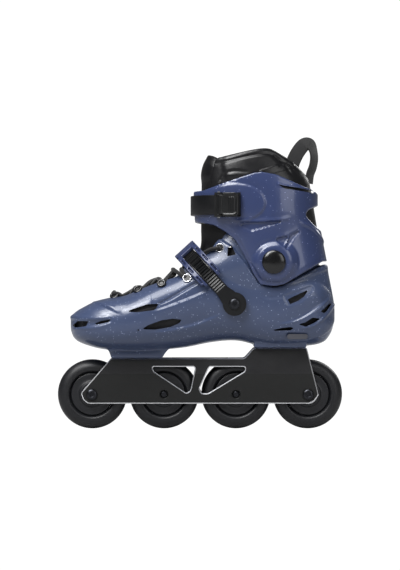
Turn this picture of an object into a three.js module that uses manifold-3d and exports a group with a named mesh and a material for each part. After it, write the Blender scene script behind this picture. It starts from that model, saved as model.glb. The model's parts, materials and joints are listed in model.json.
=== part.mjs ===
// One inline skate: four wheels in an aluminium frame, a moulded boot shell with a hinged
// cuff, a padded liner with a tongue, a shoelace, an instep ladder strap and a cuff buckle.
// Millimetres. +X runs from toe to heel, +Z up, -Y is the side with the cuff buckle's lever.
// The origin is on the ground below the middle of the wheelbase.

import * as THREE from 'three';
import { mergeVertices } from 'three/addons/utils/BufferGeometryUtils.js';
import Module from 'manifold-3d';

const wasm = await Module();
wasm.setup();

// ---------------------------------------------------------------- driving dimensions

const wheelCount = 4;
const wheelDiameter = 78;
const wheelWidth = 24;
const wheelSpacing = 81;
const hubRadius = 24.3;
const bearingOuterRadius = 11;
const bearingBoreRadius = 4.15;
const bearingWidth = 7;
const axleRadius = 3.95;
const axleHeadRadius = 6.2;
const axleHeadHeight = 2.7;

const frameWall = 3;
const frameLean = 2;
const frameTopClearance = 1.7;
const heelLift = 11.5;
const frameBelowAxle = 10.3;
const frameBoltRadius = 4;
const frameBoltHeadRadius = 7;
const frameBoltHeadHeight = 3.6;
const washerThickness = 1.5;

const bootLength = 297.5;
const bootWidth = 104;
const shellWall = 3.2;
const linerFoam = 6;
const footbedThickness = 4;
const throatHalfWidth = 28;

const cuffWall = 3;
const cuffFlexForward = 8;
const cuffFlexBack = 2;
const cuffFrontGap = 14;
const capRadius = 13.1;
const capHeight = 4.6;
const cuffBoltRadius = 5;

const laceRadius = 2;

const strapThickness = 2.2;
const ladderWidth = 14.6;
const shieldWidth = 27;
const shieldLift = 1.2;
const strapTilt = 47.5;
const strapBoltRadius = 2.5;
const strapBoltHeadRadius = 6;

const cuffStrapWidth = 22;
const cuffBuckleWidth = 28;
const cuffBuckleLength = 30;

// Named clearances.
const fitGap = 0.3;
const sideGap = 0.35;
const holeGap = 0.25;
const runGap = 0.4;

// ---------------------------------------------------------------- derived places

const wheelRadius = wheelDiameter / 2;
const axleHeight = wheelRadius;
const frameTop = wheelDiameter + frameTopClearance;
const plateInner = wheelWidth / 2 + 2;
const plateOuter = plateInner + frameWall;
const wheelX = Array.from({ length: wheelCount }, (_, i) => (i - (wheelCount - 1) / 2) * wheelSpacing);
const frontBoltX = -wheelSpacing;
const rearBoltX = wheelSpacing + 4;

// The boot's outlines were drawn on a last of this length and width; every point is carried
// onto the boot's own length and width by these two functions.
const lastLength = 297.5;
const lastWidth = 104;
const along = (x) => (x * bootLength) / lastLength;
const across = (y) => (y * bootWidth) / lastWidth;
const radians = THREE.MathUtils.degToRad;

// ---------------------------------------------------------------- solids and booleans

function toSolid(geometry) {
  const bare = geometry.clone();
  bare.deleteAttribute('normal');
  bare.deleteAttribute('uv');
  const merged = mergeVertices(bare, 1e-4);
  const index = merged.index.array;
  const kept = [];
  for (let i = 0; i < index.length; i += 3) {
    const [a, b, c] = [index[i], index[i + 1], index[i + 2]];
    if (a !== b && b !== c && c !== a) kept.push(a, b, c);
  }
  const vertProperties = new Float32Array(merged.attributes.position.array);
  const triVerts = new Uint32Array(signedVolume(vertProperties, kept) < 0 ? kept.reverse() : kept);
  return new wasm.Manifold(new wasm.Mesh({ numProp: 3, vertProperties, triVerts }));
}

function toGeometry(solid) {
  const mesh = solid.getMesh();
  const geometry = new THREE.BufferGeometry();
  const positions = new Float32Array(mesh.numVert * 3);
  for (let i = 0; i < mesh.numVert; i += 1) {
    positions.set(mesh.vertProperties.subarray(i * mesh.numProp, i * mesh.numProp + 3), i * 3);
  }
  geometry.setAttribute('position', new THREE.BufferAttribute(positions, 3));
  geometry.setIndex(new THREE.BufferAttribute(new Uint32Array(mesh.triVerts), 1));
  geometry.computeVertexNormals();
  return geometry;
}

function union(solids) {
  return solids.reduce((joined, solid) => joined.add(solid));
}

// A closed skin through rings of points, with a fan cap on each end ring.
function loft(rings) {
  const count = rings[0].length;
  const positions = [];
  const index = [];
  for (const ring of rings) {
    for (const point of ring) positions.push(point.x, point.y, point.z);
  }
  for (let r = 0; r + 1 < rings.length; r += 1) {
    for (let i = 0; i < count; i += 1) {
      const a = r * count + i;
      const b = r * count + ((i + 1) % count);
      index.push(a, b, b + count, a, b + count, a + count);
    }
  }
  const addCap = (ring, first, flip) => {
    const middle = new THREE.Vector3();
    for (const point of ring) middle.addScaledVector(point, 1 / count);
    const centre = positions.length / 3;
    positions.push(middle.x, middle.y, middle.z);
    for (let i = 0; i < count; i += 1) {
      const a = first + i;
      const b = first + ((i + 1) % count);
      if (flip) index.push(centre, b, a);
      else index.push(centre, a, b);
    }
  };
  addCap(rings[0], 0, true);
  addCap(rings[rings.length - 1], (rings.length - 1) * count, false);
  const geometry = new THREE.BufferGeometry();
  geometry.setAttribute('position', new THREE.Float32BufferAttribute(positions, 3));
  geometry.setIndex(index);
  return toSolid(geometry);
}

function signedVolume(positions, index) {
  let six = 0;
  for (let i = 0; i < index.length; i += 3) {
    const [a, b, c] = [0, 1, 2].map((k) => new THREE.Vector3().fromArray(positions, index[i + k] * 3));
    six += a.dot(b.cross(c));
  }
  return six / 6;
}

function shapeOf(points) {
  return new THREE.Shape(points.map(([u, v]) => new THREE.Vector2(u, v)));
}

function extrude(points, depth) {
  return new THREE.ExtrudeGeometry(shapeOf(points), { depth, bevelEnabled: false });
}

// Points are (x, z); the prism runs across the skate from yMin to yMax.
function prismAcross(points, yMin, yMax) {
  const geometry = extrude(points, yMax - yMin);
  geometry.rotateX(Math.PI / 2);
  geometry.translate(0, yMax, 0);
  return toSolid(geometry);
}

// Points are (x, y); the prism stands from zMin to zMax.
function prismUp(points, zMin, zMax) {
  const geometry = extrude(points, zMax - zMin);
  geometry.translate(0, 0, zMin);
  return toSolid(geometry);
}

// Points are (y, z); the prism runs along the skate from xMin to xMax.
function prismAlong(points, xMin, xMax) {
  const geometry = extrude(points, xMax - xMin);
  const basis = new THREE.Matrix4().makeBasis(
    new THREE.Vector3(0, 1, 0), new THREE.Vector3(0, 0, 1), new THREE.Vector3(1, 0, 0));
  geometry.applyMatrix4(basis);
  geometry.translate(xMin, 0, 0);
  return toSolid(geometry);
}

function rodAcross(radius, x, z, yMin, yMax, sides = 16) {
  const geometry = new THREE.CylinderGeometry(radius, radius, yMax - yMin, sides);
  geometry.translate(x, (yMin + yMax) / 2, z);
  return toSolid(geometry);
}

function rodUp(radius, x, y, zMin, zMax, sides = 16) {
  const geometry = new THREE.CylinderGeometry(radius, radius, zMax - zMin, sides);
  geometry.rotateX(Math.PI / 2);
  geometry.translate(x, y, (zMin + zMax) / 2);
  return toSolid(geometry);
}

function block(xMin, xMax, yMin, yMax, zMin, zMax) {
  const geometry = new THREE.BoxGeometry(xMax - xMin, yMax - yMin, zMax - zMin);
  geometry.translate((xMin + xMax) / 2, (yMin + yMax) / 2, (zMin + zMax) / 2);
  return toSolid(geometry);
}

// A turned piece about the Y axis; the profile's points are (radius, y).
function turned(profile, sides) {
  return toSolid(new THREE.LatheGeometry(profile.map(([r, y]) => new THREE.Vector2(r, y)), sides));
}

// A smooth value between hand-set stations: a cubic through [place, value] pairs.
function smoothThrough(stations) {
  return (place) => {
    const last = stations.length - 1;
    if (place <= stations[0][0]) return stations[0][1];
    if (place >= stations[last][0]) return stations[last][1];
    const i = stations.findIndex(([at]) => at > place) - 1;
    const slope = (k) => {
      const low = stations[Math.max(k - 1, 0)];
      const high = stations[Math.min(k + 1, last)];
      return (high[1] - low[1]) / (high[0] - low[0]);
    };
    const [x0, y0] = stations[i];
    const [x1, y1] = stations[i + 1];
    const span = x1 - x0;
    const t = (place - x0) / span;
    const a = 2 * t ** 3 - 3 * t ** 2 + 1;
    const b = t ** 3 - 2 * t ** 2 + t;
    const c = -2 * t ** 3 + 3 * t ** 2;
    const d = t ** 3 - t ** 2;
    return a * y0 + b * span * slope(i) + c * y1 + d * span * slope(i + 1);
  };
}

// A point on a rounded oval: signed powers of the cosine and sine.
function oval(angle, halfU, halfV, power) {
  const u = Math.cos(angle);
  const v = Math.sin(angle);
  return [
    halfU * Math.sign(u) * Math.abs(u) ** (2 / power),
    halfV * Math.sign(v) * Math.abs(v) ** (2 / power),
  ];
}

// ---------------------------------------------------------------- materials

const paint = (color, roughness, metalness = 0) =>
  new THREE.MeshStandardMaterial({ color, roughness, metalness });

const materials = {
  shell: () => paint(0x4f5a75, 0.38),
  cuff: () => paint(0x3b4873, 0.36),
  blackAluminium: () => paint(0x191b1b, 0.45, 0.6),
  steel: () => paint(0xb8b9bc, 0.3, 1),
  blackSteel: () => paint(0x1b1c1f, 0.35, 0.7),
  tyre: () => paint(0x26272b, 0.55),
  hub: () => paint(0x292a2e, 0.5),
  blackPlastic: () => paint(0x1b1c1f, 0.4),
  glossPlastic: () => paint(0x0c0c0e, 0.12),
  strap: () => paint(0x202125, 0.5),
  liner: () => paint(0x1a1a1c, 0.55),
  webbing: () => paint(0x17171a, 0.8),
  lace: () => paint(0x121214, 0.85),
  footbed: () => paint(0x2b2d31, 0.9),
};

const skate = new THREE.Group();
const boot = new THREE.Group();
boot.position.z = frameTop;
skate.add(boot);

function addPart(name, solid, material, parent = skate) {
  const mesh = new THREE.Mesh(toGeometry(solid), material());
  mesh.name = name;
  parent.add(mesh);
  return mesh;
}

// ---------------------------------------------------------------- wheels

function tyreProfile() {
  const half = wheelWidth / 2;
  const seat = hubRadius + fitGap;
  const outer = [
    [seat, -half + 4], [seat + 3.4, -half], [wheelRadius - 5, -half + 1.6], [wheelRadius - 1.2, -half + 6.6],
    [wheelRadius, 0],
  ];
  const mirrored = outer.slice(0, -1).reverse().map(([r, y]) => [r, -y]);
  return [...outer, ...mirrored, outer[0]];
}

function hubProfile() {
  const face = wheelWidth / 2 - 0.2;
  const shoulder = wheelWidth / 2 - bearingWidth - sideGap;
  const rim = wheelWidth / 2 - 4.3;
  const seat = bearingOuterRadius + 0.15;
  const half = [
    [seat - 1.8, 0], [seat - 1.8, shoulder], [seat, shoulder], [seat, face], [seat + 2.6, face],
    [seat + 3.4, 5], [hubRadius, rim], [hubRadius, 0],
  ];
  const mirrored = half.slice(1, -1).reverse().map(([r, y]) => [r, -y]);
  return [...half, ...mirrored, half[0]];
}

function bearingProfile(side) {
  const inner = (wheelWidth / 2 - bearingWidth) * side;
  const outer = (wheelWidth / 2) * side;
  return [
    [bearingBoreRadius, inner], [bearingOuterRadius, inner], [bearingOuterRadius, outer],
    [bearingBoreRadius, outer], [bearingBoreRadius, inner],
  ];
}

function spacerProfile() {
  const half = wheelWidth / 2 - bearingWidth - sideGap;
  return [
    [bearingBoreRadius, -half], [bearingBoreRadius + 1.6, -half], [bearingBoreRadius + 1.6, half],
    [bearingBoreRadius, half], [bearingBoreRadius, -half],
  ];
}

// The end wheels' axles go in from the lever side and the middle ones from the far side.
function axleSolid(headSide) {
  const headFrom = (plateOuter + sideGap) * headSide;
  const headTo = headFrom + axleHeadHeight * headSide;
  const end = -(plateOuter - 0.2) * headSide;
  const shaft = turned([
    [0, end], [axleRadius, end], [axleRadius, headFrom], [axleHeadRadius, headFrom],
    [axleHeadRadius, headTo - 1.2 * headSide], [axleHeadRadius - 1.4, headTo], [0, headTo],
  ], 12);
  const socket = rodAcross(2.5, 0, 0, ...ordered(headTo + headSide, headTo - 1.8 * headSide), 6);
  return shaft.subtract(socket);
}

function ordered(a, b) {
  return [Math.min(a, b), Math.max(a, b)];
}

function addWheels() {
  wheelX.forEach((x, i) => {
    const wheel = new THREE.Group();
    wheel.position.set(x, 0, axleHeight);
    skate.add(wheel);
    const number = i + 1;
    const isEnd = i === 0 || i === wheelCount - 1;
    addPart(`tyre_${number}`, turned(tyreProfile(), 24), materials.tyre, wheel);
    addPart(`hub_${number}`, turned(hubProfile(), 12), materials.hub, wheel);
    addPart(`bearing_lever_side_${number}`, turned(bearingProfile(-1), 12), materials.steel, wheel);
    addPart(`bearing_far_side_${number}`, turned(bearingProfile(1), 12), materials.steel, wheel);
    addPart(`spacer_${number}`, turned(spacerProfile(), 12), materials.steel, wheel);
    addPart(`axle_${number}`, axleSolid(isEnd ? -1 : 1), materials.blackSteel, wheel);
  });
}

// ---------------------------------------------------------------- frame

// An upside-down U section: upright plates, leaning in above the crease, under a flat deck.
function channelSection(top) {
  const low = axleHeight - frameBelowAxle;
  const crease = frameTop - 17.5;
  const lean = frameLean;
  const deck = 5;
  return [
    [-plateOuter, low], [-plateOuter, crease], [-plateOuter + lean, top], [plateOuter - lean, top],
    [plateOuter, crease], [plateOuter, low], [plateInner, low], [plateInner, crease],
    [plateInner - lean, top - deck], [-plateInner + lean, top - deck], [-plateInner, crease],
    [-plateInner, low],
  ];
}

// The frame seen from the side: (x, z).
function frameOutline() {
  const low = axleHeight - frameBelowAxle;
  const first = wheelX[0];
  const last = wheelX[wheelCount - 1];
  const heelTop = frameTop + heelLift;
  return [
    [first - 4, low], [first - 10, axleHeight - 6], [first - 12.4, axleHeight + 1.5],
    [first + 21.5, frameTop], [49.9 + rearBoltX - 85, frameTop], [60.3 + rearBoltX - 85, heelTop],
    [last - 1.3, heelTop], [last + 11.9, axleHeight - 0.8], [last + 6.5, axleHeight - 7.5], [last, low],
  ];
}

// Two three-cornered windows with a plain leaning strut between them.
function frameWindows() {
  const low = axleHeight + 1.5;
  const high = frameTop - 9.7;
  const wide = wheelSpacing * 0.64;
  const narrow = 15;
  const strut = 4.5;
  const front = [
    [-wide, high], [-wide + 1, high - 2], [-narrow, low], [-narrow + 5, low + 2], [-strut - 1, high - 2],
    [-strut - 2.5, high],
  ];
  const rear = [
    [strut + 6.5, high], [strut + 5, high - 2], [-1.5, low + 3.5], [1, low], [narrow - 6, low],
    [wide - 1.5, high - 4], [wide - 1.5, high],
  ];
  return [front, rear].map((points) => prismAcross(points, -plateOuter - 5, plateOuter + 5));
}

function frameSolid() {
  const split = 49.9 + rearBoltX - 85;
  const front = prismAlong(channelSection(frameTop), wheelX[0] - 30, split + 2);
  const rear = prismAlong(channelSection(frameTop + heelLift), split - 6, wheelX[wheelCount - 1] + 30);
  const outline = prismAcross(frameOutline(), -plateOuter - 5, plateOuter + 5);
  const slotHalf = plateInner - frameLean + 0.2;
  const bossFrom = wheelWidth / 2 + sideGap;
  const bosses = [];
  const cuts = frameWindows();
  for (const x of wheelX) {
    for (const side of [-1, 1]) {
      bosses.push(rodAcross(6.5, x, axleHeight, ...ordered(bossFrom * side, (plateInner + 1) * side), 12));
    }
    cuts.push(rodAcross(wheelRadius + 2.5, x, axleHeight, -slotHalf, slotHalf, 20));
  }
  for (const x of [frontBoltX, rearBoltX]) {
    cuts.push(rodUp(frameBoltRadius + holeGap, x, 0, frameTop - 12, frameTop + heelLift + 5, 16));
  }
  const plates = front.add(rear).intersect(outline).subtract(union(cuts));
  return union([plates, ...bosses]).subtract(union(axleHoles()));
}

function axleHoles() {
  return wheelX.map((x) =>
    rodAcross(axleRadius + holeGap, x, axleHeight, -plateOuter - 1, plateOuter + 1, 12));
}

function addFrame() {
  addPart('frame', frameSolid(), materials.blackAluminium);
}

// ---------------------------------------------------------------- boot shell
// Heights in the boot are counted from the top of the frame, where the sole plane is.

const pivotX = along(81.8);
const pivotZ = 107.6;
const strapX = along(38.4);
const strapZ = 61.1;
const strapSeat = across(43.8) + 1.3;
const pivotFace = across(46.5) + 3.5;
const pivotNutY = across(32.4) - 0.4;
const footMiddle = along(3);
const ringSides = 16;

const footTop = smoothThrough([
  [-145.7, 47], [-138, 53.5], [-130, 58], [-123, 61.1], [-114, 64.6], [-100, 68], [-84, 71.3],
  [-57.4, 83.3], [-32.3, 93.3], [-19.7, 99.4], [7, 113], [28, 120], [60, 115], [100, 106], [130, 95],
  [146, 78], [151.8, 58],
]);
const footLow = smoothThrough([
  [-145.7, 31], [-143, 24], [-137, 18.4], [-125.4, 13.8], [-111.6, 10.3], [-100, 9], [-60, 8.5],
  [-19.3, 11.5], [10.7, 17.3], [31.4, 19.6], [45.3, 19], [60, 15.5], [80, 12.4], [121.4, 13.8],
  [139.8, 18.4], [147.9, 28.8], [151.8, 42],
]);
const footHalf = smoothThrough([
  [-145.7, 6], [-143, 17], [-138, 27], [-130, 36], [-118, 43.5], [-100, 48.5], [-77, 51.5], [-51, 52],
  [-25, 49.5], [0, 46], [28, 43], [60, 41], [90, 41], [118, 39], [135, 33], [146, 21], [150.5, 12],
  [151.8, 6],
]);
const floorDepth = smoothThrough([[-146, 5.6], [-20, 5.6], [60, 11], [152, 11]]);
const footStations = [-145.7, -142.5, -134, -118, -96, -66, -30, 10, 50, 90, 118, 138, 148.5, 151.8];

const ankleFront = smoothThrough([
  [45, -40], [70, -45], [88, -44], [98, -42], [116, -10], [130, 2], [142, 13], [148, 16],
]);
const ankleBack = smoothThrough([[45, 151.8], [61, 151.4], [75, 149.1], [100, 144.5], [148, 140]]);
const ankleHalf = smoothThrough([[45, 39], [70, 40], [90, 42.4], [108, 43.8], [125, 43.8], [148, 43]]);
const coreBack = 134;
const coreHalf = 39.6;
const ankleStations = [45, 75, 90, 100, 116, 130, 148];

// The foot part of the boot, taken in by an inset all round, and by its own amount underneath.
function footSolid(inset, floorInset = () => inset) {
  const reach = (along(151.8) - along(-145.7)) / 2;
  const rings = footStations.map((station) => {
    const x = footMiddle + ((along(station) - footMiddle) * (reach - inset)) / reach;
    const low = footLow(station) + floorInset(station);
    const high = Math.max(footTop(station) - inset, low + 2);
    const half = Math.max(across(footHalf(station)) - inset, 1.5);
    return ringOf(ringSides, (angle) => {
      const [y, z] = oval(angle, half, (high - low) / 2, 2.6);
      return new THREE.Vector3(x, y, (high + low) / 2 + z);
    });
  });
  return loft(rings);
}

function ringOf(sides, pointAt) {
  return Array.from({ length: sides }, (_, i) => pointAt(((i + 0.5) / sides) * 2 * Math.PI));
}

// An upright oval tube, given its front, back and half width at each height.
function uprightSolid(stations, front, back, half, inset, sides = ringSides) {
  const rings = stations.map((z) => {
    const xFront = along(front(z)) + inset;
    const xBack = along(back(z)) - inset;
    return ringOf(sides, (angle) => {
      const [x, y] = oval(angle, (xBack - xFront) / 2, across(half(z)) - inset, 2.2);
      return new THREE.Vector3((xFront + xBack) / 2 + x, y, z);
    });
  });
  return loft(rings);
}

const ankleSolid = (inset) => uprightSolid(ankleStations, ankleFront, ankleBack, ankleHalf, inset);
const coreSolid = (inset) =>
  uprightSolid(ankleStations, ankleFront, () => coreBack, () => coreHalf, inset);

const scaleOutline = (points) => points.map(([x, z]) => [along(x), z]);

// Everything below this outline belongs to the shell: (x, z).
const wingTop = 143;
const splitZ = 126;
const shellOutline = [
  [-165, -10], [-165, 92], [-51.6, 92], [-19.3, 100], [7.2, 117], [28, wingTop], [37, wingTop],
  [72, splitZ], [170, splitZ - 2], [170, -10],
];

// The opening over the instep, seen from above: (x, y), one side.
const throatEdge = [[-92, 0], [-90, 9], [-84, 15], [-66, 20], [-40, 25], [-15, 28], [62, 28]];

function throatPrism(narrower, low = 50) {
  const side = throatEdge.map(([x, y]) => [along(x) + (y === 0 ? narrower : 0), scaleThroat(y) - narrower]);
  const near = side.filter(([, y]) => y > 0.5);
  const far = near.map(([x, y]) => [x, -y]);
  return prismUp([[side[0][0], 0], ...far, ...near.reverse()], low, 170);
}

const scaleThroat = (y) => (y * throatHalfWidth) / 28;

// Side vents, cut straight across: (x, z).
const vents = [
  [[-80, 53.5], [-66, 58.5], [-45.8, 61.1], [-51.6, 55.3]],
  [[-65.4, 34.6], [-45, 41.5], [-27.4, 43.8], [-42.4, 35.7]],
  [[31, 114.1], [39.5, 116], [35, 126.5], [31.5, 124]],
  [[98.3, 62.2], [106, 70], [120.2, 74.3]],
  [[111, 38], [120, 44], [134.1, 46.1]],
];

function soleBlocks() {
  const half = 22;
  const front = [
    [frontBoltX - 22.5, 9], [frontBoltX - 19, fitGap], [frontBoltX + 38.6, fitGap], [frontBoltX + 44.4, 10],
    [frontBoltX + 44.4, 13], [frontBoltX - 22.5, 13],
  ];
  const heelLow = heelLift + fitGap;
  const heel = [
    [rearBoltX - 24.7, heelLow], [rearBoltX + 34.1, heelLow], [rearBoltX + 34.1, heelLow + 6],
    [rearBoltX - 24.7, heelLow + 6],
  ];
  return [prismAcross(front, -half, half), prismAcross(heel, -half, half)];
}

// Where each frame bolt's washer seats, down inside the sole.
const boltSeats = [
  { name: 'front', x: frontBoltX, seat: 8.2, deck: 0 },
  { name: 'rear', x: rearBoltX, seat: heelLift + 5.2, deck: heelLift },
];

// The cuff's side outline swept through its own travel, so that the shell is stepped in under it.
function cuffSweep() {
  const grow = 1.03;
  const sweeps = [];
  for (let turn = -cuffFlexBack - 1; turn <= cuffFlexForward + 1; turn += 4) {
    const c = Math.cos(radians(turn)) * grow;
    const s = Math.sin(radians(turn)) * grow;
    const points = scaleOutline(cuffOutline).map(([x, z]) => {
      const u = x - pivotX;
      const v = z - pivotZ;
      return [pivotX + u * c - v * s, pivotZ + u * s + v * c];
    });
    sweeps.push(prismAcross(points, -90, 90));
  }
  return union(sweeps);
}

function shellSolid() {
  const cavityFloor = (station) => floorDepth(station);
  const outer = footSolid(0).add(ankleSolid(0));
  const stepped = outer.subtract(cuffSweep().subtract(coreSolid(0).add(block(-200, 200, -90, 90, -10, 62))));
  const bosses = [-1, 1].map((side) =>
    rodAcross(9, strapX, strapZ, ...ordered(30 * side, (strapSeat - fitGap) * side), 16));
  const inner = footSolid(shellWall, cavityFloor).add(coreSolid(shellWall));
  let shell = union([stepped, ...soleBlocks(), ...bosses]).subtract(inner);
  shell = shell.intersect(prismAcross(scaleOutline(shellOutline), -90, 90));
  shell = shell.subtract(throatPrism(0));
  for (const vent of vents) shell = shell.subtract(prismAcross(scaleOutline(vent), -90, 90));
  for (const { x, seat, deck } of boltSeats) {
    shell = shell.subtract(rodUp(9, x, 0, seat, seat + 16, 20));
    shell = shell.subtract(rodUp(frameBoltRadius + holeGap, x, 0, deck - 1, seat + 1, 16));
  }
  shell = shell.subtract(rodAcross(cuffBoltRadius + holeGap, pivotX, pivotZ, -60, 60, 16));
  return shell.subtract(rodAcross(strapBoltRadius + holeGap, strapX, strapZ, -60, 60, 12));
}

// ---------------------------------------------------------------- cuff

const cuffFront = smoothThrough([[75, 24], [95, 16], [115, 8], [140, -4], [160, -7], [190, -8], [212, -6]]);
const cuffBack = smoothThrough([
  [75, 152], [85, 149], [109.5, 143.3], [139.5, 137.5], [165, 133.4], [190, 133], [212, 132],
]);
const cuffHalf = smoothThrough([[75, 45.6], [107, 46.5], [140, 46.5], [165, 48], [190, 47], [212, 44]]);
const cuffStations = [75, 95, 118, 140, 165, 190, 212];

const cuffOutline = [
  [-12, 152.2], [-3.2, 152.2], [15.3, 148.7], [29.1, 140.7], [40.7, 130.3], [49.9, 114.1], [60.3, 93.4],
  [67.2, 83], [82.2, 80.7], [93.7, 83], [116.8, 96.8], [137.5, 108.4], [150, 109.5], [150, 139],
  [136.4, 143], [126, 151], [117.2, 160.3], [121.4, 166], [131.8, 170.7], [140, 176], [140, 183.5],
  [131.8, 185.6], [84.5, 205.3], [68.3, 208.2], [59.1, 206.9], [19.9, 193.7], [3.8, 188], [-12, 186.8],
];

const cuffSolidRaw = (inset) => uprightSolid(cuffStations, cuffFront, cuffBack, cuffHalf, inset);

function cuffSolid() {
  const bosses = [-1, 1].map((side) =>
    rodAcross(capRadius + 2.5, pivotX, pivotZ, ...ordered(across(42) * side, pivotFace * side), 24));
  const outline = prismAcross(scaleOutline(cuffOutline), -90, 90);
  let cuff = union([cuffSolidRaw(0), ...bosses]).intersect(outline).subtract(cuffSolidRaw(cuffWall));
  cuff = cuff.subtract(block(along(-40), along(30), -cuffFrontGap / 2, cuffFrontGap / 2, 60, 230));
  cuff = cuff.subtract(rodAcross(cuffBoltRadius + holeGap, pivotX, pivotZ, -80, 80, 16));
  return cuff.subtract(rodAcross(strapBoltRadius + holeGap, cuffAnchorX, cuffStrapZ, 20, 80, 12));
}

function addPivots() {
  for (const side of [-1, 1]) {
    const name = side < 0 ? 'lever_side' : 'far_side';
    const nutInner = pivotNutY;
    const bolt = turned([
      [0, (nutInner + 0.4) * side], [cuffBoltRadius, (nutInner + 0.4) * side],
      [cuffBoltRadius, (pivotFace + fitGap) * side], [9, (pivotFace + fitGap) * side],
      [9, (pivotFace + 1.4) * side], [0, (pivotFace + 1.4) * side],
    ], 16);
    const threadHole = turned([
      [0, (nutInner - 1) * side], [3, (nutInner - 1) * side], [3, (pivotFace - 4) * side],
      [0, (pivotFace - 4) * side],
    ], 12);
    const nut = turned([
      [0, (nutInner - 2) * side], [6.5, (nutInner - 2) * side], [6.5, (nutInner - 0.2) * side],
      [2.7, (nutInner - 0.2) * side], [2.7, (pivotFace - 5) * side], [0, (pivotFace - 5) * side],
    ], 12);
    const rise = capHeight;
    const base = pivotFace + fitGap;
    const dome = [];
    for (let i = 0; i <= 3; i += 1) {
      const angle = (i / 3) * (Math.PI / 2);
      dome.push([capRadius * Math.cos(angle), (base + 1 + (rise - 1) * Math.sin(angle)) * side]);
    }
    const cap = turned([
      [0, (base + 1.6) * side], [9.4, (base + 1.6) * side], [9.4, base * side], [capRadius, base * side],
      ...dome.slice(0, -1), [0, dome[3][1]],
    ], 20);
    const place = new THREE.Group();
    place.position.set(pivotX, 0, pivotZ);
    boot.add(place);
    addPart(`cuff_bolt_${name}`, bolt.subtract(threadHole), materials.steel, place);
    addPart(`cuff_nut_${name}`, nut, materials.steel, place);
    addPart(`cuff_cap_${name}`, cap, materials.glossPlastic, place);
  }
}

// ---------------------------------------------------------------- liner, tongue and footbed

const linerGap = 0.5;
const shaftFoam = 9;
// The liner shaft was drawn inside a cuff with this wall; a thicker cuff takes it in.
const drawnCuffWall = 3;
const shaftFront = smoothThrough([[120, 9], [140, 0], [160, -3], [190, -4], [212, -2], [240, 4]]);
const shaftBack = smoothThrough([[120, 137], [140, 133.4], [165, 129.2], [190, 125], [204, 121.4], [240, 98]]);
const shaftHalf = smoothThrough([[120, 33.5], [146, 34.2], [166, 42], [190, 42.6], [212, 40], [240, 33]]);
const shaftStations = [124, 146, 166, 190, 212, 226, 240];
const shaftSolidRaw = (inset) => uprightSolid(shaftStations, shaftFront, shaftBack, shaftHalf, inset);

// The liner's top edge seen from the side: (x, z).
const linerTop = [
  [-20, 110], [-20, 213], [8.4, 225], [19.9, 224.9], [49.9, 230.6], [73, 234.5], [84.5, 232.9],
  [102.9, 222.6], [121.4, 204.1], [160, 195], [160, 110],
];

function linerFootSolid() {
  const skin = shellWall + linerGap;
  const outer = footSolid(skin, (x) => floorDepth(x) + linerGap).add(coreSolid(skin));
  const inner = footCavity(0);
  const cutAbove = block(-200, 200, -90, 90, splitZ - 2, 260);
  const nutPockets = [-1, 1].map((side) =>
    rodAcross(7, pivotX, pivotZ, ...ordered((pivotNutY - 2.6) * side, 50 * side), 12));
  return outer.subtract(inner).subtract(throatPrism(0)).subtract(cutAbove).subtract(union(nutPockets));
}

// The room for the foot inside the liner, taken in further by a clearance.
function footCavity(clearance) {
  const depth = shellWall + linerGap + linerFoam + clearance;
  const foot = footSolid(depth, (x) => floorDepth(x) + linerGap + 3 + clearance);
  return foot.add(coreSolid(depth));
}

// The shaft turns with the cuff, so its lower edge clears the shell's wings and the foot part
// when the cuff is flexed all the way.
function linerShaftSolid() {
  const drop = (x) => Math.max((pivotX - along(x)) * Math.tan(radians(cuffFlexForward + 2)), 0) + 1.6;
  const behind = (along(160) - pivotX) * Math.tan(radians(cuffFlexBack + 1));
  const wedge = scaleOutline([
    [-20, 90], [-20, wingTop + drop(28) + 4], [24, wingTop + drop(28)], [38, wingTop + drop(38)],
    [72, splitZ + drop(72)], [160, splitZ + 1.6 + behind], [160, 90],
  ]);
  const takenIn = cuffWall - drawnCuffWall;
  const walls = shaftSolidRaw(takenIn).subtract(shaftSolidRaw(takenIn + shaftFoam));
  const gap = block(along(-30), along(40), -throatHalfWidth, throatHalfWidth, 100, 260);
  return walls
    .intersect(prismAcross(scaleOutline(linerTop), -90, 90))
    .subtract(prismAcross(wedge, -90, 90))
    .subtract(gap);
}

// A padded strip that follows a side line, crowned across its width: line points are (x, z).
function paddedStrip(line, halfAt, thickness, crown) {
  const curve = new THREE.CatmullRomCurve3(line.map(([x, z]) => new THREE.Vector3(along(x), 0, z)));
  const steps = 8;
  const rings = [];
  for (let i = 0; i <= steps; i += 1) {
    const at = curve.getPointAt(i / steps);
    const run = curve.getTangentAt(i / steps);
    const out = new THREE.Vector3(-run.z, 0, run.x);
    const half = halfAt(i / steps);
    const across5 = [-1, -0.6, -0.2, 0.2, 0.6, 1];
    const outer = across5.map((u) => at.clone().addScaledVector(out, -crown * u * u)
      .setY(u * half));
    const inner = across5.map((u) => at.clone().addScaledVector(out, -crown * u * u - thickness)
      .setY(u * half)).reverse();
    rings.push([...outer, ...inner]);
  }
  return loft(rings);
}

const tongueLine = [[-86, 62.5], [-77, 68], [-57, 78], [-32, 89.5], [-19, 96.5], [-7.5, 110], [0, 126], [0.5, 146]];
const tongueTopLine = [[0.5, 165.5], [1, 178], [1.5, 195], [0.5, 210], [3, 223]];

function tongueLowerSolid() {
  const half = (t) => (throatHalfWidth - 2.5) * Math.min(1, 0.42 + 1.1 * t);
  return paddedStrip(tongueLine, half, 6, 11);
}

function tongueUpperSolid() {
  return paddedStrip(tongueTopLine, () => throatHalfWidth - 4, 6, 11);
}

function footbedSolid() {
  const high = footStations.map((x) => [x, footLow(x) + floorDepth(x) + linerGap + 3 + footbedThickness]);
  const band = scaleOutline([[-165, -10], ...high, [165, -10]]);
  return footCavity(fitGap).intersect(prismAcross(band, -90, 90));
}

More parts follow.
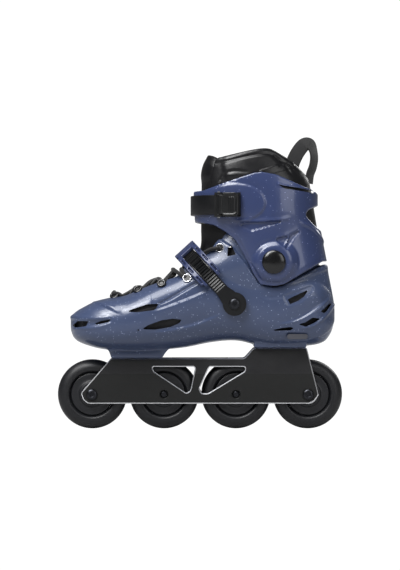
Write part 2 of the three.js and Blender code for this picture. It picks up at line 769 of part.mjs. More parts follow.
// A webbing loop that straddles the liner's back edge.
function pullLoopSolid() {
  const outer = [[103, 225],  [109, 238], [117, 244.9], [125, 244], [130, 234], [129.5, 215], [126, 196]];
  const inner = [[124.2, 196], [127.4, 215], [128, 233], [124, 241.8], [118, 242.6], [111, 236.6], [105.2, 225]];
  return prismAcross(scaleOutline([...outer, ...inner]), -8, 8);
}

// ---------------------------------------------------------------- shoelace

// Lace rows from the toe up: x, half spacing, z of the lace where it turns.
const laceRows = [[-93, 11, 74.5], [-68.9, 19.5, 84], [-42.4, 24.5, 94], [-25.5, 29.5, 101.8]];
// The lace ends go into the top eyelets by these points, given for one side: x, y, z.
const laceTail = [[1.5, 26, 119.5], [12, 33.5, 122], [22, 37.6, 124]];
// Above the last row each strand dips under the instep strap: x, y, z for one side.
const laceDip = [-19, 21, 101.5];
// Where the two strands cross between the rows: the lower strand's x and z, then the upper's.
const laceCrossings = [
  [-81, 72, -81.6, 76.6], [-55.5, 84.5, -56.5, 89.1], [-29, 97.2, -30.6, 101.6], [-9.5, 115, -12, 118.8],
];

function laceTurn(row, side) {
  const [x, y, z] = laceRows[row];
  return [[x - 4, side * (y - 1), z], [x, side * (y + 3.5), z - 0.5], [x + 4, side * (y - 1), z]];
}

function laceCrossing(row, isUpper) {
  const [lowX, lowZ, highX, highZ] = laceCrossings[row];
  return isUpper ? [highX, 0, highZ] : [lowX, 0, lowZ];
}

// The lace runs down from one top eyelet, straight across the bottom row, and up to the other one.
function lacePoints() {
  const top = laceRows.length - 1;
  const points = laceTail.map(([x, y, z]) => [x, -y, z]).reverse();
  let side = 1;
  for (let row = top; row >= 0; row -= 1) {
    points.push(laceCrossing(row, row % 2 === 0));
    if (row === top) points.push([laceDip[0], side * laceDip[1], laceDip[2]]);
    const turn = laceTurn(row, side).reverse();
    points.push(...(row === 0 ? turn.slice(0, 2) : turn));
    side = -side;
  }
  const [firstX, , firstZ] = laceRows[0];
  points.push([firstX - 4, -side * 7, firstZ - 0.5], [firstX - 4, side * 7, firstZ - 0.5]);
  for (let row = 0; row <= top; row += 1) {
    const turn = laceTurn(row, side);
    points.push(...(row === 0 ? turn.slice(1) : turn));
    if (row === top) points.push([laceDip[0], side * laceDip[1], laceDip[2]]);
    points.push(laceCrossing(row, row % 2 === 1));
    side = -side;
  }
  points.push(...laceTail);
  return points.map(([x, y, z]) => new THREE.Vector3(along(x), across(y), z));
}

function tube(points, radius, steps, sides) {
  const route = new THREE.CatmullRomCurve3(points, false, 'centripetal');
  const section = ringOf(sides, (angle) =>
    new THREE.Vector2(radius * Math.cos(angle), radius * Math.sin(angle)));
  return toSolid(new THREE.ExtrudeGeometry(new THREE.Shape(section),
    { steps, bevelEnabled: false, extrudePath: route }));
}

// ---------------------------------------------------------------- instep strap
// The strap lies in a plane tilted back from the bolts: s runs up the strap, y across the skate.

// The arch was drawn on the last; a longer boot has a longer, flatter strap.
const strapReach = new THREE.Vector2(along(Math.cos(radians(strapTilt))), Math.sin(radians(strapTilt)));
const strapLean = strapReach.angle();
const archStart = 34 * strapReach.length();
const archRise = 45 * strapReach.length();
const strapPlace = new THREE.Group();
strapPlace.position.set(strapX, 0, strapZ);
boot.add(strapPlace);

const strapBasis = new THREE.Matrix4().makeBasis(
  new THREE.Vector3(-Math.cos(strapLean), 0, Math.sin(strapLean)),
  new THREE.Vector3(0, 1, 0),
  new THREE.Vector3(-Math.sin(strapLean), 0, -Math.cos(strapLean)));

// Points are (s, y); the band is as wide as given, centred on the strap.
function strapPrism(points, wide, middle = 0) {
  const geometry = extrude(points, wide);
  geometry.translate(0, 0, middle - wide / 2);
  geometry.applyMatrix4(strapBasis);
  return toSolid(geometry);
}

// A disc or rod whose axis runs across the skate, at s along the strap and c across its width.
function strapRod(radius, s, c, yMin, yMax, sides = 16) {
  const geometry = new THREE.CylinderGeometry(radius, radius, yMax - yMin, sides);
  geometry.translate(s, (yMin + yMax) / 2, c);
  geometry.applyMatrix4(strapBasis);
  return toSolid(geometry);
}

// A pin along the strap's width.
function strapPin(radius, s, y, wide) {
  const geometry = new THREE.CylinderGeometry(radius, radius, wide, 12);
  geometry.rotateX(Math.PI / 2);
  geometry.translate(s, y, 0);
  geometry.applyMatrix4(strapBasis);
  return toSolid(geometry);
}

// A point of the arch at an angle from its top, lifted off the arch by an offset.
function archPoint(angle, offset) {
  return [
    archStart + (archRise + offset) * Math.cos(radians(angle)),
    (strapSeat + offset) * Math.sin(radians(angle)),
  ];
}

// A band over the arch. Angles run from -90 on the lever side to 90 on the far side.
function archBand(from, to, offsetAt, thickness, tails = []) {
  const steps = 12;
  const low = [];
  const high = [];
  const addPair = (inner, outer) => {
    low.push(inner);
    high.push(outer);
  };
  const tail = ({ s, side, offset }) =>
    addPair([s, side * (strapSeat + offset)], [s, side * (strapSeat + offset + thickness)]);
  tails.filter(({ side }) => side < 0).forEach(tail);
  for (let i = 0; i <= steps; i += 1) {
    const angle = from + ((to - from) * i) / steps;
    addPair(archPoint(angle, offsetAt(angle)), archPoint(angle, offsetAt(angle) + thickness));
  }
  tails.filter(({ side }) => side > 0).forEach(tail);
  return [...low, ...high.reverse()];
}

const ladderLift = strapThickness * 2 + 0.4;
const ladderOffset = (angle) => ladderLift * THREE.MathUtils.smoothstep(angle, 0, 80);

function ladderSolid() {
  const band = archBand(-90, 90, ladderOffset, strapThickness, [
    { s: -2, side: -1, offset: 0 }, { s: 7, side: 1, offset: ladderLift },
  ]);
  const end = strapRod(capRadius, 0, 0, -(strapSeat + strapThickness), -strapSeat, 20);
  const hole = strapRod(strapBoltRadius + holeGap, 0, 0, -90, 0, 12);
  return strapPrism(band, ladderWidth).add(end).subtract(hole);
}

function shieldSolid() {
  const clear = strapThickness + fitGap;
  const body = strapPrism(archBand(-88, -8, () => shieldLift, 5), shieldWidth);
  const tunnel = strapPrism(archBand(-90, 0, () => -3, 3 + clear), ladderWidth + 2 * runGap);
  const window = strapPrism(archBand(-90, -28, () => -3, 13), ladderWidth + 2 * runGap);
  return body.subtract(tunnel).subtract(window);
}

const ratchetWall = 1.7;
const ratchetInner = ladderWidth / 2 + runGap;
const ratchetFloor = strapThickness + fitGap;
const leverPinS = 24;
const releasePinS = 15;
const ratchetPinY = 10.2;

function farSide(points) {
  return points.map(([s, offset]) => [s, strapSeat + offset]);
}

function ratchetStrapSolid() {
  const band = farSide([[0, 0], [33, 0], [33, strapThickness], [0, strapThickness]]);
  const end = strapRod(10, 0, 0, strapSeat, strapSeat + strapThickness, 20);
  const hole = strapRod(strapBoltRadius + holeGap, 0, 0, 0, 90, 12);
  return strapPrism(band, ladderWidth + 4).add(end).subtract(hole);
}

function ratchetBaseSolid() {
  const low = ratchetFloor;
  const high = ratchetPinY + 2;
  const start = strapBoltHeadRadius + 6;
  const profile = farSide([
    [start - 5, low + 3], [start, low], [32, low], [32, high - 3], [29, high], [start - 2, high],
    [start - 5, high - 3],
  ]);
  const outer = strapPrism(profile, 2 * (ratchetInner + ratchetWall));
  const channel = farSide([[-20, low + 1.5], [60, low + 1.5], [60, high + 9], [-20, high + 9]]);
  return outer
    .subtract(strapPrism(channel, 2 * ratchetInner))
    .subtract(strapPin(1.5 + holeGap, leverPinS, strapSeat + ratchetPinY, 60))
    .subtract(strapPin(1.5 + holeGap, releasePinS, strapSeat + ratchetPinY, 60));
}

// A lever on the ratchet, from one end to the other, with a rounded boss round its pin.
function ratchetLever(pinS, points) {
  const wide = 2 * (ratchetInner - runGap);
  const plate = strapPrism(farSide(points), wide);
  return plate.subtract(strapPin(1.5 + holeGap, pinS, strapSeat + ratchetPinY, 60));
}

const leverLow = ladderLift + strapThickness + 0.8;

function ratchetLeverSolid() {
  return ratchetLever(leverPinS, [
    [leverPinS - 2.6, 9.4], [leverPinS - 1.4, leverLow], [leverPinS + 22, 8.4], [leverPinS + 23, 10.5],
    [leverPinS + 21, 12.2], [leverPinS + 2, 13.2], [leverPinS - 1.4, 12.6], [leverPinS - 2.6, 11.2],
  ]);
}

function ratchetReleaseSolid() {
  return ratchetLever(releasePinS, [
    [releasePinS + 2.6, 9.4], [releasePinS + 2.6, 11.2], [releasePinS + 1.4, 12.6], [releasePinS - 2, 13.4],
    [releasePinS - 14, 13.4], [releasePinS - 14, 11.8], [releasePinS - 6, 11.2],
    [releasePinS - 6, leverLow + 0.6], [releasePinS - 4, leverLow], [releasePinS + 1.4, leverLow],
  ]);
}

function addStrapBolt(name, side) {
  const head = (strapSeat + strapThickness + fitGap) * side;
  const tip = (strapSeat - 4.6) * side;
  const bolt = turned([
    [0, tip], [strapBoltRadius, tip], [strapBoltRadius, head], [strapBoltHeadRadius, head],
    [strapBoltHeadRadius, head + 1.2 * side], [strapBoltHeadRadius - 1.6, head + 2.6 * side],
    [0, head + 2.8 * side],
  ], 16);
  const socket = rodAcross(1.7, 0, 0, ...ordered(head + 1.4 * side, head + 4 * side), 6);
  addPart(name, bolt.subtract(socket), materials.blackSteel, strapPlace);
}

function addInstepStrap() {
  addPart('ladder_strap', ladderSolid(), materials.strap, strapPlace);
  addPart('instep_shield', shieldSolid(), materials.cuff, strapPlace);
  addPart('ratchet_strap', ratchetStrapSolid(), materials.strap, strapPlace);
  addPart('ratchet_base', ratchetBaseSolid(), materials.blackPlastic, strapPlace);
  addPart('ratchet_lever', ratchetLeverSolid(), materials.blackPlastic, strapPlace);
  addPart('ratchet_release', ratchetReleaseSolid(), materials.blackPlastic, strapPlace);
  const pinWide = 2 * (ratchetInner + ratchetWall);
  const pinY = strapSeat + ratchetPinY;
  addPart('ratchet_lever_pin', strapPin(1.5, leverPinS, pinY, pinWide), materials.steel, strapPlace);
  addPart('ratchet_release_pin', strapPin(1.5, releasePinS, pinY, pinWide), materials.steel, strapPlace);
  addStrapBolt('strap_bolt_lever_side', -1);
  addStrapBolt('strap_bolt_far_side', 1);
}

// ---------------------------------------------------------------- cuff strap and buckle

const cuffStrapZ = 171.3;
const cuffAnchorX = along(52);
const cuffStrapGap = 0.7;
const buckleX = along(31);
const buckleTurn = -radians(16.5);
const bucklePinX = -9;
const bucklePinY = -5.6;

// A point on the cuff's outside at the strap's height, lifted off by an offset.
function cuffPoint(angle, offset) {
  const front = along(cuffFront(cuffStrapZ));
  const back = along(cuffBack(cuffStrapZ));
  const [x, y] = oval(angle, (back - front) / 2 + offset, across(cuffHalf(cuffStrapZ)) + offset, 2.2);
  return [(front + back) / 2 + x, y];
}

// The oval's angle at which it passes a given x on the lever side.
function cuffAngleAt(x) {
  const front = along(cuffFront(cuffStrapZ));
  const back = along(cuffBack(cuffStrapZ));
  const share = (x - (front + back) / 2) / ((back - front) / 2);
  return 2 * Math.PI - Math.acos(Math.sign(share) * Math.abs(share) ** 1.1);
}

function cuffStrapSolid() {
  const start = 2 * Math.PI - cuffAngleAt(cuffAnchorX + 10);
  const end = cuffAngleAt(buckleX - (cuffBuckleLength / 2) * Math.cos(buckleTurn) - 1.4);
  const low = [];
  const high = [];
  for (let i = 0; i <= 20; i += 1) {
    const angle = start + ((end - start) * i) / 20;
    low.push(cuffPoint(angle, cuffStrapGap));
    high.push(cuffPoint(angle, cuffStrapGap + strapThickness));
  }
  const half = cuffStrapWidth / 2;
  const band = prismUp([...low, ...high.reverse()], cuffStrapZ - half, cuffStrapZ + half);
  return band.subtract(rodAcross(strapBoltRadius + holeGap, cuffAnchorX, cuffStrapZ, 20, 90, 12));
}

function cuffAnchorSolid() {
  const surface = cuffPoint(2 * Math.PI - cuffAngleAt(cuffAnchorX), 0)[1];
  const head = surface + cuffStrapGap + strapThickness + fitGap + 0.2;
  return turned([
    [0, surface - cuffWall - 0.5], [strapBoltRadius, surface - cuffWall - 0.5], [strapBoltRadius, head],
    [strapBoltHeadRadius, head], [strapBoltHeadRadius - 1, head + 1.8], [0, head + 2],
  ], 16);
}

function buckleBaseSolid() {
  const half = cuffBuckleWidth / 2;
  const long = cuffBuckleLength / 2;
  const plate = block(-long, long, -2.3, -0.5, -half + 0.5, half - 0.5);
  const ears = [-1, 1].map((side) =>
    block(bucklePinX - 4, bucklePinX + 4, -8.2, -2, ...ordered((half - 2.8) * side, (half - 0.5) * side)));
  const pinHole = rodUp(1.5 + holeGap, bucklePinX, bucklePinY, -half - 5, half + 5, 12);
  return union([plate, ...ears]).subtract(pinHole);
}

function buckleLeverSolid() {
  const half = cuffBuckleWidth / 2;
  const long = cuffBuckleLength / 2;
  const back = bucklePinX - 2.6;
  const outline = [
    [back, bucklePinY - 1.6], [back, bucklePinY + 1.4], [back + 1.4, -2.9], [long, -2.9], [long + 0.6, -5],
    [long - 1.4, -8.4], [long - 6, -9.6], [bucklePinX + 2, -9.6], [bucklePinX - 1.2, bucklePinY - 2.6],
  ];
  const narrow = prismUp(outline, -half + 3.2, half - 3.2);
  const wideOutline = [
    [bucklePinX + 5.2, -2.9], [long, -2.9], [long + 0.6, -5], [long - 1.4, -8.4], [long - 6, -9.6],
    [bucklePinX + 5.2, -9.6],
  ];
  const wide = prismUp(wideOutline, -half + 0.6, half - 0.6);
  const pinHole = rodUp(1.5 + holeGap, bucklePinX, bucklePinY, -half - 5, half + 5, 12);
  return narrow.add(wide).subtract(pinHole);
}

function addCuffBuckle() {
  const half = cuffBuckleWidth / 2;
  const place = new THREE.Group();
  place.position.set(buckleX, cuffPoint(cuffAngleAt(buckleX), 0)[1], cuffStrapZ);
  place.rotation.z = buckleTurn;
  boot.add(place);
  addPart('cuff_buckle_base', buckleBaseSolid(), materials.blackPlastic, place);
  addPart('cuff_buckle_lever', buckleLeverSolid(), materials.blackPlastic, place);
  const pin = rodUp(1.5, bucklePinX, bucklePinY, -half - 0.8, half + 0.8, 12);
  addPart('cuff_buckle_pin', pin, materials.steel, place);
  addPart('cuff_strap', cuffStrapSolid(), materials.strap, boot);
  const anchor = new THREE.Group();
  anchor.position.set(cuffAnchorX, 0, cuffStrapZ);
  boot.add(anchor);
  addPart('cuff_strap_bolt', cuffAnchorSolid(), materials.blackSteel, anchor);
}

// ---------------------------------------------------------------- frame bolts

function addFrameBolts() {
  for (const { name, x, seat, deck } of boltSeats) {
    const washerLow = seat + fitGap;
    const washerHigh = washerLow + washerThickness;
    const place = new THREE.Group();
    place.position.set(x, 0, 0);
    boot.add(place);
    const ring = rodUp(8.5, 0, 0, washerLow, washerHigh, 20);
    const washer = ring.subtract(rodUp(frameBoltRadius + holeGap, 0, 0, washerLow - 1, washerHigh + 1, 16));
    addPart(`frame_washer_${name}`, washer, materials.steel, place);
    const headLow = washerHigh + fitGap;
    const shank = rodUp(frameBoltRadius, 0, 0, deck - 5, headLow + 0.5, 16);
    const head = rodUp(frameBoltHeadRadius, 0, 0, headLow, headLow + frameBoltHeadHeight, 20);
    const socket = rodUp(2.9, 0, 0, headLow + 1, headLow + 9, 6);
    addPart(`frame_bolt_${name}`, shank.add(head).subtract(socket), materials.blackSteel, place);
  }
}

// ---------------------------------------------------------------- assembly

addFrame();
addWheels();
addFrameBolts();
addPart('boot_shell', shellSolid(), materials.shell, boot);
addPart('cuff', cuffSolid(), materials.cuff, boot);
addPivots();
addPart('liner_foot', linerFootSolid(), materials.liner, boot);
addPart('liner_shaft', linerShaftSolid(), materials.liner, boot);
addPart('tongue_lower', tongueLowerSolid(), materials.liner, boot);
addPart('tongue_upper', tongueUpperSolid(), materials.liner, boot);
addPart('footbed', footbedSolid(), materials.footbed, boot);
addPart('pull_loop', pullLoopSolid(), materials.webbing, boot);
addPart('shoelace', tube(lacePoints(), laceRadius, 56, 8), materials.lace, boot);
addInstepStrap();
addCuffBuckle();

export default skate;
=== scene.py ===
import json
import math

import bmesh
import bpy
import mathutils
import numpy as np
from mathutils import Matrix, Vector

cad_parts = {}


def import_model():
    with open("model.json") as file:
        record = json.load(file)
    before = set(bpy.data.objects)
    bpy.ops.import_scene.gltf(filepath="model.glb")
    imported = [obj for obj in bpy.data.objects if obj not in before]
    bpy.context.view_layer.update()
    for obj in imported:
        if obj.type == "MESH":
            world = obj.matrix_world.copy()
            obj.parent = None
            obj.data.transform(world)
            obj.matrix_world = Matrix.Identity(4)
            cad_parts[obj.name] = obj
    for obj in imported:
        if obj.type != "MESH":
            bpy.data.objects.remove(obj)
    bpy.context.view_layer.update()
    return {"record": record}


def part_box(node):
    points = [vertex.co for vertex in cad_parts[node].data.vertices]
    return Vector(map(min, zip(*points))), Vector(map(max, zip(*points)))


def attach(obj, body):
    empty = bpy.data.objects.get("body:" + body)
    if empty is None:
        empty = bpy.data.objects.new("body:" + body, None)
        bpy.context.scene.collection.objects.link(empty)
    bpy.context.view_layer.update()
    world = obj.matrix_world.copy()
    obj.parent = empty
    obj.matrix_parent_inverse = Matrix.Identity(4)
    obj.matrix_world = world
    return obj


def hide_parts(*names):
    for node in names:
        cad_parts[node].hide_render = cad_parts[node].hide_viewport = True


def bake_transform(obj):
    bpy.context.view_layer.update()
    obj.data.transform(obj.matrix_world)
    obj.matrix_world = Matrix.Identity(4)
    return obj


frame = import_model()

JOINTS = {joint["name"]: joint for joint in frame["record"]["behaviour"]["joints"]}


# ------------------------------------------------------------------ places, in millimetres

MM = 0.001
HEEL_LIFT = 11.5
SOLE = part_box("frame")[1][2] / MM - HEEL_LIFT
AXLE_Z = JOINTS["wheel_1_spin"]["pos_m"][2] / MM
WHEELS = [JOINTS[f"wheel_{i}_spin"]["pos_m"][0] / MM for i in (1, 2, 3, 4)]
WHEEL_RADIUS = AXLE_Z
FRAME_BOLTS = (-81, 85)
PLATE_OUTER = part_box("frame")[1][1] / MM
PLATE_INNER = PLATE_OUTER - 3
PIVOT_X = JOINTS["cuff_flex"]["pos_m"][0] / MM
PIVOT_Z = JOINTS["cuff_flex"]["pos_m"][2] / MM - SOLE
STRAP_X = JOINTS["instep_strap_swing"]["pos_m"][0] / MM
STRAP_Z = JOINTS["instep_strap_swing"]["pos_m"][2] / MM - SOLE
STRAP_TILT = math.radians(47.5)
STRAP_THICKNESS = 2.2
STRAP_SEAT = -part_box("strap_bolt_lever_side")[0][1] / MM - 5.3
CAP_RADIUS = 13.1
SHELL_WALL = 3.2
CUFF_WALL = 3.0
THROAT_HALF = 28
CUFF_STRAP_Z = 171.3


# ------------------------------------------------------------------ numbers and profiles

def smooth_through(stations):
    """A cubic through (place, value) pairs, flat beyond both ends."""
    at = np.array([s[0] for s in stations], float)
    value = np.array([s[1] for s in stations], float)
    slope = np.empty_like(value)
    slope[1:-1] = (value[2:] - value[:-2]) / (at[2:] - at[:-2])
    slope[0] = (value[1] - value[0]) / (at[1] - at[0])
    slope[-1] = (value[-1] - value[-2]) / (at[-1] - at[-2])

    def curve(place):
        place = np.clip(np.asarray(place, float), at[0], at[-1])
        i = np.clip(np.searchsorted(at, place, side="right") - 1, 0, len(at) - 2)
        span = at[i + 1] - at[i]
        t = (place - at[i]) / span
        a = 2 * t**3 - 3 * t**2 + 1
        b = (t**3 - 2 * t**2 + t) * span
        c = 3 * t**2 - 2 * t**3
        d = (t**3 - t**2) * span
        return a * value[i] + b * slope[i] + c * value[i + 1] + d * slope[i + 1]

    return curve


def smoothstep(low, high, value):
    """0 below low, 1 above high, and an S curve between."""
    t = np.clip((value - low) / (high - low), 0, 1)
    return t * t * (3 - 2 * t)


def curve_points(points, per_span=8):
    """Points along a centripetal-like Catmull-Rom curve through the given ones."""
    points = np.array(points, float)
    padded = np.vstack([2 * points[0] - points[1], points, 2 * points[-1] - points[-2]])
    out = []
    for i in range(len(points) - 1):
        p0, p1, p2, p3 = padded[i:i + 4]
        for t in np.linspace(0, 1, per_span, endpoint=False):
            out.append(0.5 * (2 * p1 + (p2 - p0) * t + (2 * p0 - 5 * p1 + 4 * p2 - p3) * t**2
                              + (3 * p1 - p0 - 3 * p2 + p3) * t**3))
    out.append(points[-1])
    return np.array(out)


def rounded(points, radius, steps=5):
    """A closed outline with each corner turned into an arc of the radius, or of its own third entry."""
    out = []
    count = len(points)
    for i in range(count):
        before = np.array(points[i - 1][:2], float)
        corner = np.array(points[i][:2], float)
        after = np.array(points[(i + 1) % count][:2], float)
        r = points[i][2] if len(points[i]) > 2 else radius
        u = before - corner
        v = after - corner
        lu, lv = np.linalg.norm(u), np.linalg.norm(v)
        u, v = u / lu, v / lv
        half = math.acos(np.clip(u @ v, -1, 1)) / 2
        if r <= 0 or half > math.radians(87):
            out.append(corner)
            continue
        reach = min(r / math.tan(half), 0.45 * lu, 0.45 * lv)
        r = reach * math.tan(half)
        middle = corner + (u + v) / np.linalg.norm(u + v) * r / math.sin(half)
        a, b = corner + u * reach - middle, corner + v * reach - middle
        for t in np.linspace(0, 1, steps + 1):
            turn = a * (1 - t) + b * t
            out.append(middle + turn / np.linalg.norm(turn) * r)
    return np.array(out)


def oval(angle, half_u, half_v, power):
    """Signed powers of the cosine and sine: a rounded oval."""
    c, s = np.cos(angle), np.sin(angle)
    return (half_u * np.sign(c) * np.abs(c) ** (2 / power),
            half_v * np.sign(s) * np.abs(s) ** (2 / power))


def path_distance(x, z, path):
    """Distance to a polyline, the share along it of the nearest point, and which side it is on."""
    best = np.full(x.shape, 1e9)
    share = np.zeros(x.shape)
    side = np.zeros(x.shape)
    spans = len(path) - 1
    for i in range(spans):
        a, b = path[i], path[i + 1]
        run = b - a
        t = np.clip(((x - a[0]) * run[0] + (z - a[1]) * run[1]) / (run @ run), 0, 1)
        dx, dz = x - a[0] - t * run[0], z - a[1] - t * run[1]
        d = np.hypot(dx, dz)
        nearer = d < best
        best = np.where(nearer, d, best)
        share = np.where(nearer, (i + t) / spans, share)
        side = np.where(nearer, np.sign(run[0] * dz - run[1] * dx), side)
    return best, share, side


def inside_outline(x, z, outline):
    """True where a point is inside a closed outline."""
    inside = np.zeros(x.shape, bool)
    for (ax, az), (bx, bz) in zip(outline, np.roll(outline, -1, axis=0)):
        crosses = (az > z) != (bz > z)
        with np.errstate(divide="ignore", invalid="ignore"):
            at = (bx - ax) * (z - az) / (bz - az) + ax
        inside ^= crosses & (x < at)
    return inside


def outline_depth(x, z, outline):
    """Distance inside a closed outline, negative outside."""
    closed = np.vstack([outline, outline[:1]])
    d = path_distance(x, z, closed)[0]
    return np.where(inside_outline(x, z, outline), d, -d)


# ------------------------------------------------------------------ meshes

def make(name, points, faces, shade_angle=None):
    """A mesh object from points in millimetres and faces of any size."""
    mesh = bpy.data.meshes.new(name)
    mesh.from_pydata((np.asarray(points, float) * MM).tolist(), [], [list(map(int, f)) for f in faces])
    mesh.validate()
    piece = bpy.data.objects.new(name, mesh)
    bpy.context.scene.collection.objects.link(piece)
    face_out(piece)
    shade(piece, shade_angle)
    return piece


def face_out(piece):
    """Turns a closed mesh's faces outwards by the sign of its volume."""
    mesh = piece.data
    mesh.calc_loop_triangles()
    count = len(mesh.loop_triangles)
    corner = np.empty(count * 3, np.int32)
    mesh.loop_triangles.foreach_get("vertices", corner)
    co = coordinates(piece)[corner].reshape(count, 3, 3)
    volume = np.einsum("ij,ij->i", co[:, 0], np.cross(co[:, 1], co[:, 2])).sum()
    if volume < 0:
        mesh.flip_normals()


def shade(piece, angle):
    """Smooth shading, with edges sharper than an angle in degrees kept hard."""
    mesh = piece.data
    mesh.polygons.foreach_set("use_smooth", np.ones(len(mesh.polygons), bool))
    if angle is not None:
        mesh.set_sharp_from_angle(angle=math.radians(angle))
    mesh.update()


def coordinates(piece):
    """A piece's points in metres, one row each."""
    flat = np.empty(len(piece.data.vertices) * 3, np.float32)
    piece.data.vertices.foreach_get("co", flat)
    return flat.reshape(-1, 3).astype(float)


def set_coordinates(piece, co):
    """Moves a piece's points to new places in metres."""
    piece.data.vertices.foreach_set("co", co.astype(np.float32).ravel())
    piece.data.update()


def vertex_normals(piece):
    """The outward direction at each point."""
    flat = np.empty(len(piece.data.vertices) * 3, np.float32)
    piece.data.vertex_normals.foreach_get("vector", flat)
    return flat.reshape(-1, 3).astype(float)


def loft(name, rings, shade_angle=None):
    """A closed skin through rings, an array of (ring, point, xyz), with a fan at each end."""
    rings = np.asarray(rings, float)
    count, sides = rings.shape[:2]
    points = rings.reshape(-1, 3)
    start, end = rings[0].mean(axis=0), rings[-1].mean(axis=0)
    faces = []
    for r in range(count - 1):
        for i in range(sides):
            a, b = r * sides + i, r * sides + (i + 1) % sides
            faces.append((a, b, b + sides, a + sides))
    last = (count - 1) * sides
    for i in range(sides):
        j = (i + 1) % sides
        faces.append((len(points), j, i))
        faces.append((len(points) + 1, last + i, last + j))
    return make(name, np.vstack([points, start, end]), faces, shade_angle)


def ring_loft(name, rings, shade_angle=None):
    """A closed skin through rings that come back to the first one, such as a band or a torus."""
    rings = np.asarray(rings, float)
    count, sides = rings.shape[:2]
    faces = []
    for r in range(count):
        for i in range(sides):
            a, b = r * sides + i, r * sides + (i + 1) % sides
            c, d = ((r + 1) % count) * sides + (i + 1) % sides, ((r + 1) % count) * sides + i
            faces.append((a, b, c, d))
    return make(name, rings.reshape(-1, 3), faces, shade_angle)


def turned(name, profile, x, z, sides=96, shade_angle=35):
    """A closed (radius, y) profile turned about an axle across the skate at x, z."""
    angle = np.linspace(0, 2 * math.pi, sides, endpoint=False)
    profile = np.array(profile, float)
    rings = np.stack([np.stack([x + r * np.cos(angle), np.full(sides, y), z + r * np.sin(angle)], axis=1)
                      for r, y in profile])
    if profile[0][0] > 0.01:
        return ring_loft(name, rings, shade_angle)
    return loft(name, rings[1:-1], shade_angle)


def prism(name, outline, low, high, axis="y", shade_angle=30):
    """An outline pushed along an axis: (x, z) along y, (x, y) along z or (y, z) along x."""
    outline = np.asarray(outline, float)
    order = {"y": (0, 2, 1), "z": (0, 1, 2), "x": (1, 2, 0)}[axis]
    count = len(outline)
    points = np.zeros((2 * count, 3))
    for k, level in enumerate((low, high)):
        part = points[k * count:(k + 1) * count]
        part[:, order[0]] = outline[:, 0]
        part[:, order[1]] = outline[:, 1]
        part[:, order[2]] = level
    faces = [tuple(range(count)), tuple(reversed(range(count, 2 * count)))]
    faces += [(i, i + count, (i + 1) % count + count, (i + 1) % count) for i in range(count)]
    return make(name, points, faces, shade_angle)


def tube(name, path, radius, sides, flat):
    """A flattened round section carried along a path without twisting, closed at both ends."""
    path = np.asarray(path, float)
    run = np.gradient(path, axis=0)
    run /= np.linalg.norm(run, axis=1)[:, None]
    up = np.array([0, 0, 1.0])
    rings = []
    angle = np.linspace(0, 2 * math.pi, sides, endpoint=False)
    for at, direction in zip(path, run):
        side = np.cross(direction, up)
        if np.linalg.norm(side) < 0.2:
            side = np.cross(direction, np.array([0, 1.0, 0.1]))
        side /= np.linalg.norm(side)
        up = np.cross(side, direction)
        rings.append(at + radius * (np.outer(np.cos(angle), side) + flat * np.outer(np.sin(angle), up)))
    return loft(name, rings)


def settle(piece):
    """Replaces a piece's mesh by what its modifiers make of it."""
    bpy.context.view_layer.update()
    graph = bpy.context.evaluated_depsgraph_get()
    mesh = bpy.data.meshes.new_from_object(piece.evaluated_get(graph), depsgraph=graph)
    old = piece.data
    piece.modifiers.clear()
    piece.data = mesh
    bpy.data.meshes.remove(old)
    return piece


def combine(piece, others, operation):
    """A boolean with each other piece in turn, which is used up."""
    for other in others:
        modifier = piece.modifiers.new("cut", "BOOLEAN")
        modifier.operation = operation
        modifier.solver = "MANIFOLD"
        modifier.object = other
        settle(piece)
        mesh = other.data
        bpy.data.objects.remove(other)
        bpy.data.meshes.remove(mesh)
    return piece


def remesh(piece, size, passes):
    """Even quads of the given size, with the corners eased by smoothing passes."""
    modifier = piece.modifiers.new("remesh", "REMESH")
    modifier.mode = "VOXEL"
    modifier.voxel_size = size * MM
    modifier.use_smooth_shade = True
    smooth = piece.modifiers.new("smooth", "SMOOTH")
    smooth.factor = 0.5
    smooth.iterations = passes
    settle(piece)
    shade(piece, None)
    return piece


def join(name, pieces):
    """One object from several, kept as separate solids."""
    points, faces, base = [], [], 0
    for piece in pieces:
        points.append(coordinates(piece) / MM)
        for polygon in piece.data.polygons:
            faces.append([v + base for v in polygon.vertices])
        base += len(piece.data.vertices)
        bpy.data.objects.remove(piece)
    mesh = bpy.data.meshes.new(name)
    mesh.from_pydata((np.vstack(points) * MM).tolist(), [], faces)
    joined = bpy.data.objects.new(name, mesh)
    bpy.context.scene.collection.objects.link(joined)
    shade(joined, 35)
    return joined


def lift(piece):
    """Raises a piece drawn in boot heights to its place above the frame."""
    co = coordinates(piece)
    co[:, 2] += SOLE * MM
    set_coordinates(piece, co)
    return piece


def finish_piece(piece, body, material, nodes=()):
    """Gives a piece its material, the body it rides on and the CAD nodes it stands for."""
    if material is not None:
        piece.data.materials.clear()
        piece.data.materials.append(material)
    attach(piece, body)
    if nodes:
        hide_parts(*nodes)
    return piece


# ------------------------------------------------------------------ materials

def colour(hex_value):
    """Linear colour from an sRGB hex string."""
    channel = [int(hex_value[i:i + 2], 16) / 255 for i in (0, 2, 4)]
    return [c / 12.92 if c <= 0.04045 else ((c + 0.055) / 1.055) ** 2.4 for c in channel] + [1.0]


def add(tree, kind, inputs=None, **settings):
    """Adds a shader node with its settings and its inputs, each a value or another node's output."""
    node = tree.nodes.new(kind)
    for key, value in settings.items():
        setattr(node, key, value)
    for key, value in (inputs or {}).items():
        if isinstance(value, bpy.types.NodeSocket):
            tree.links.new(value, node.inputs[key])
        else:
            node.inputs[key].default_value = value
    return node


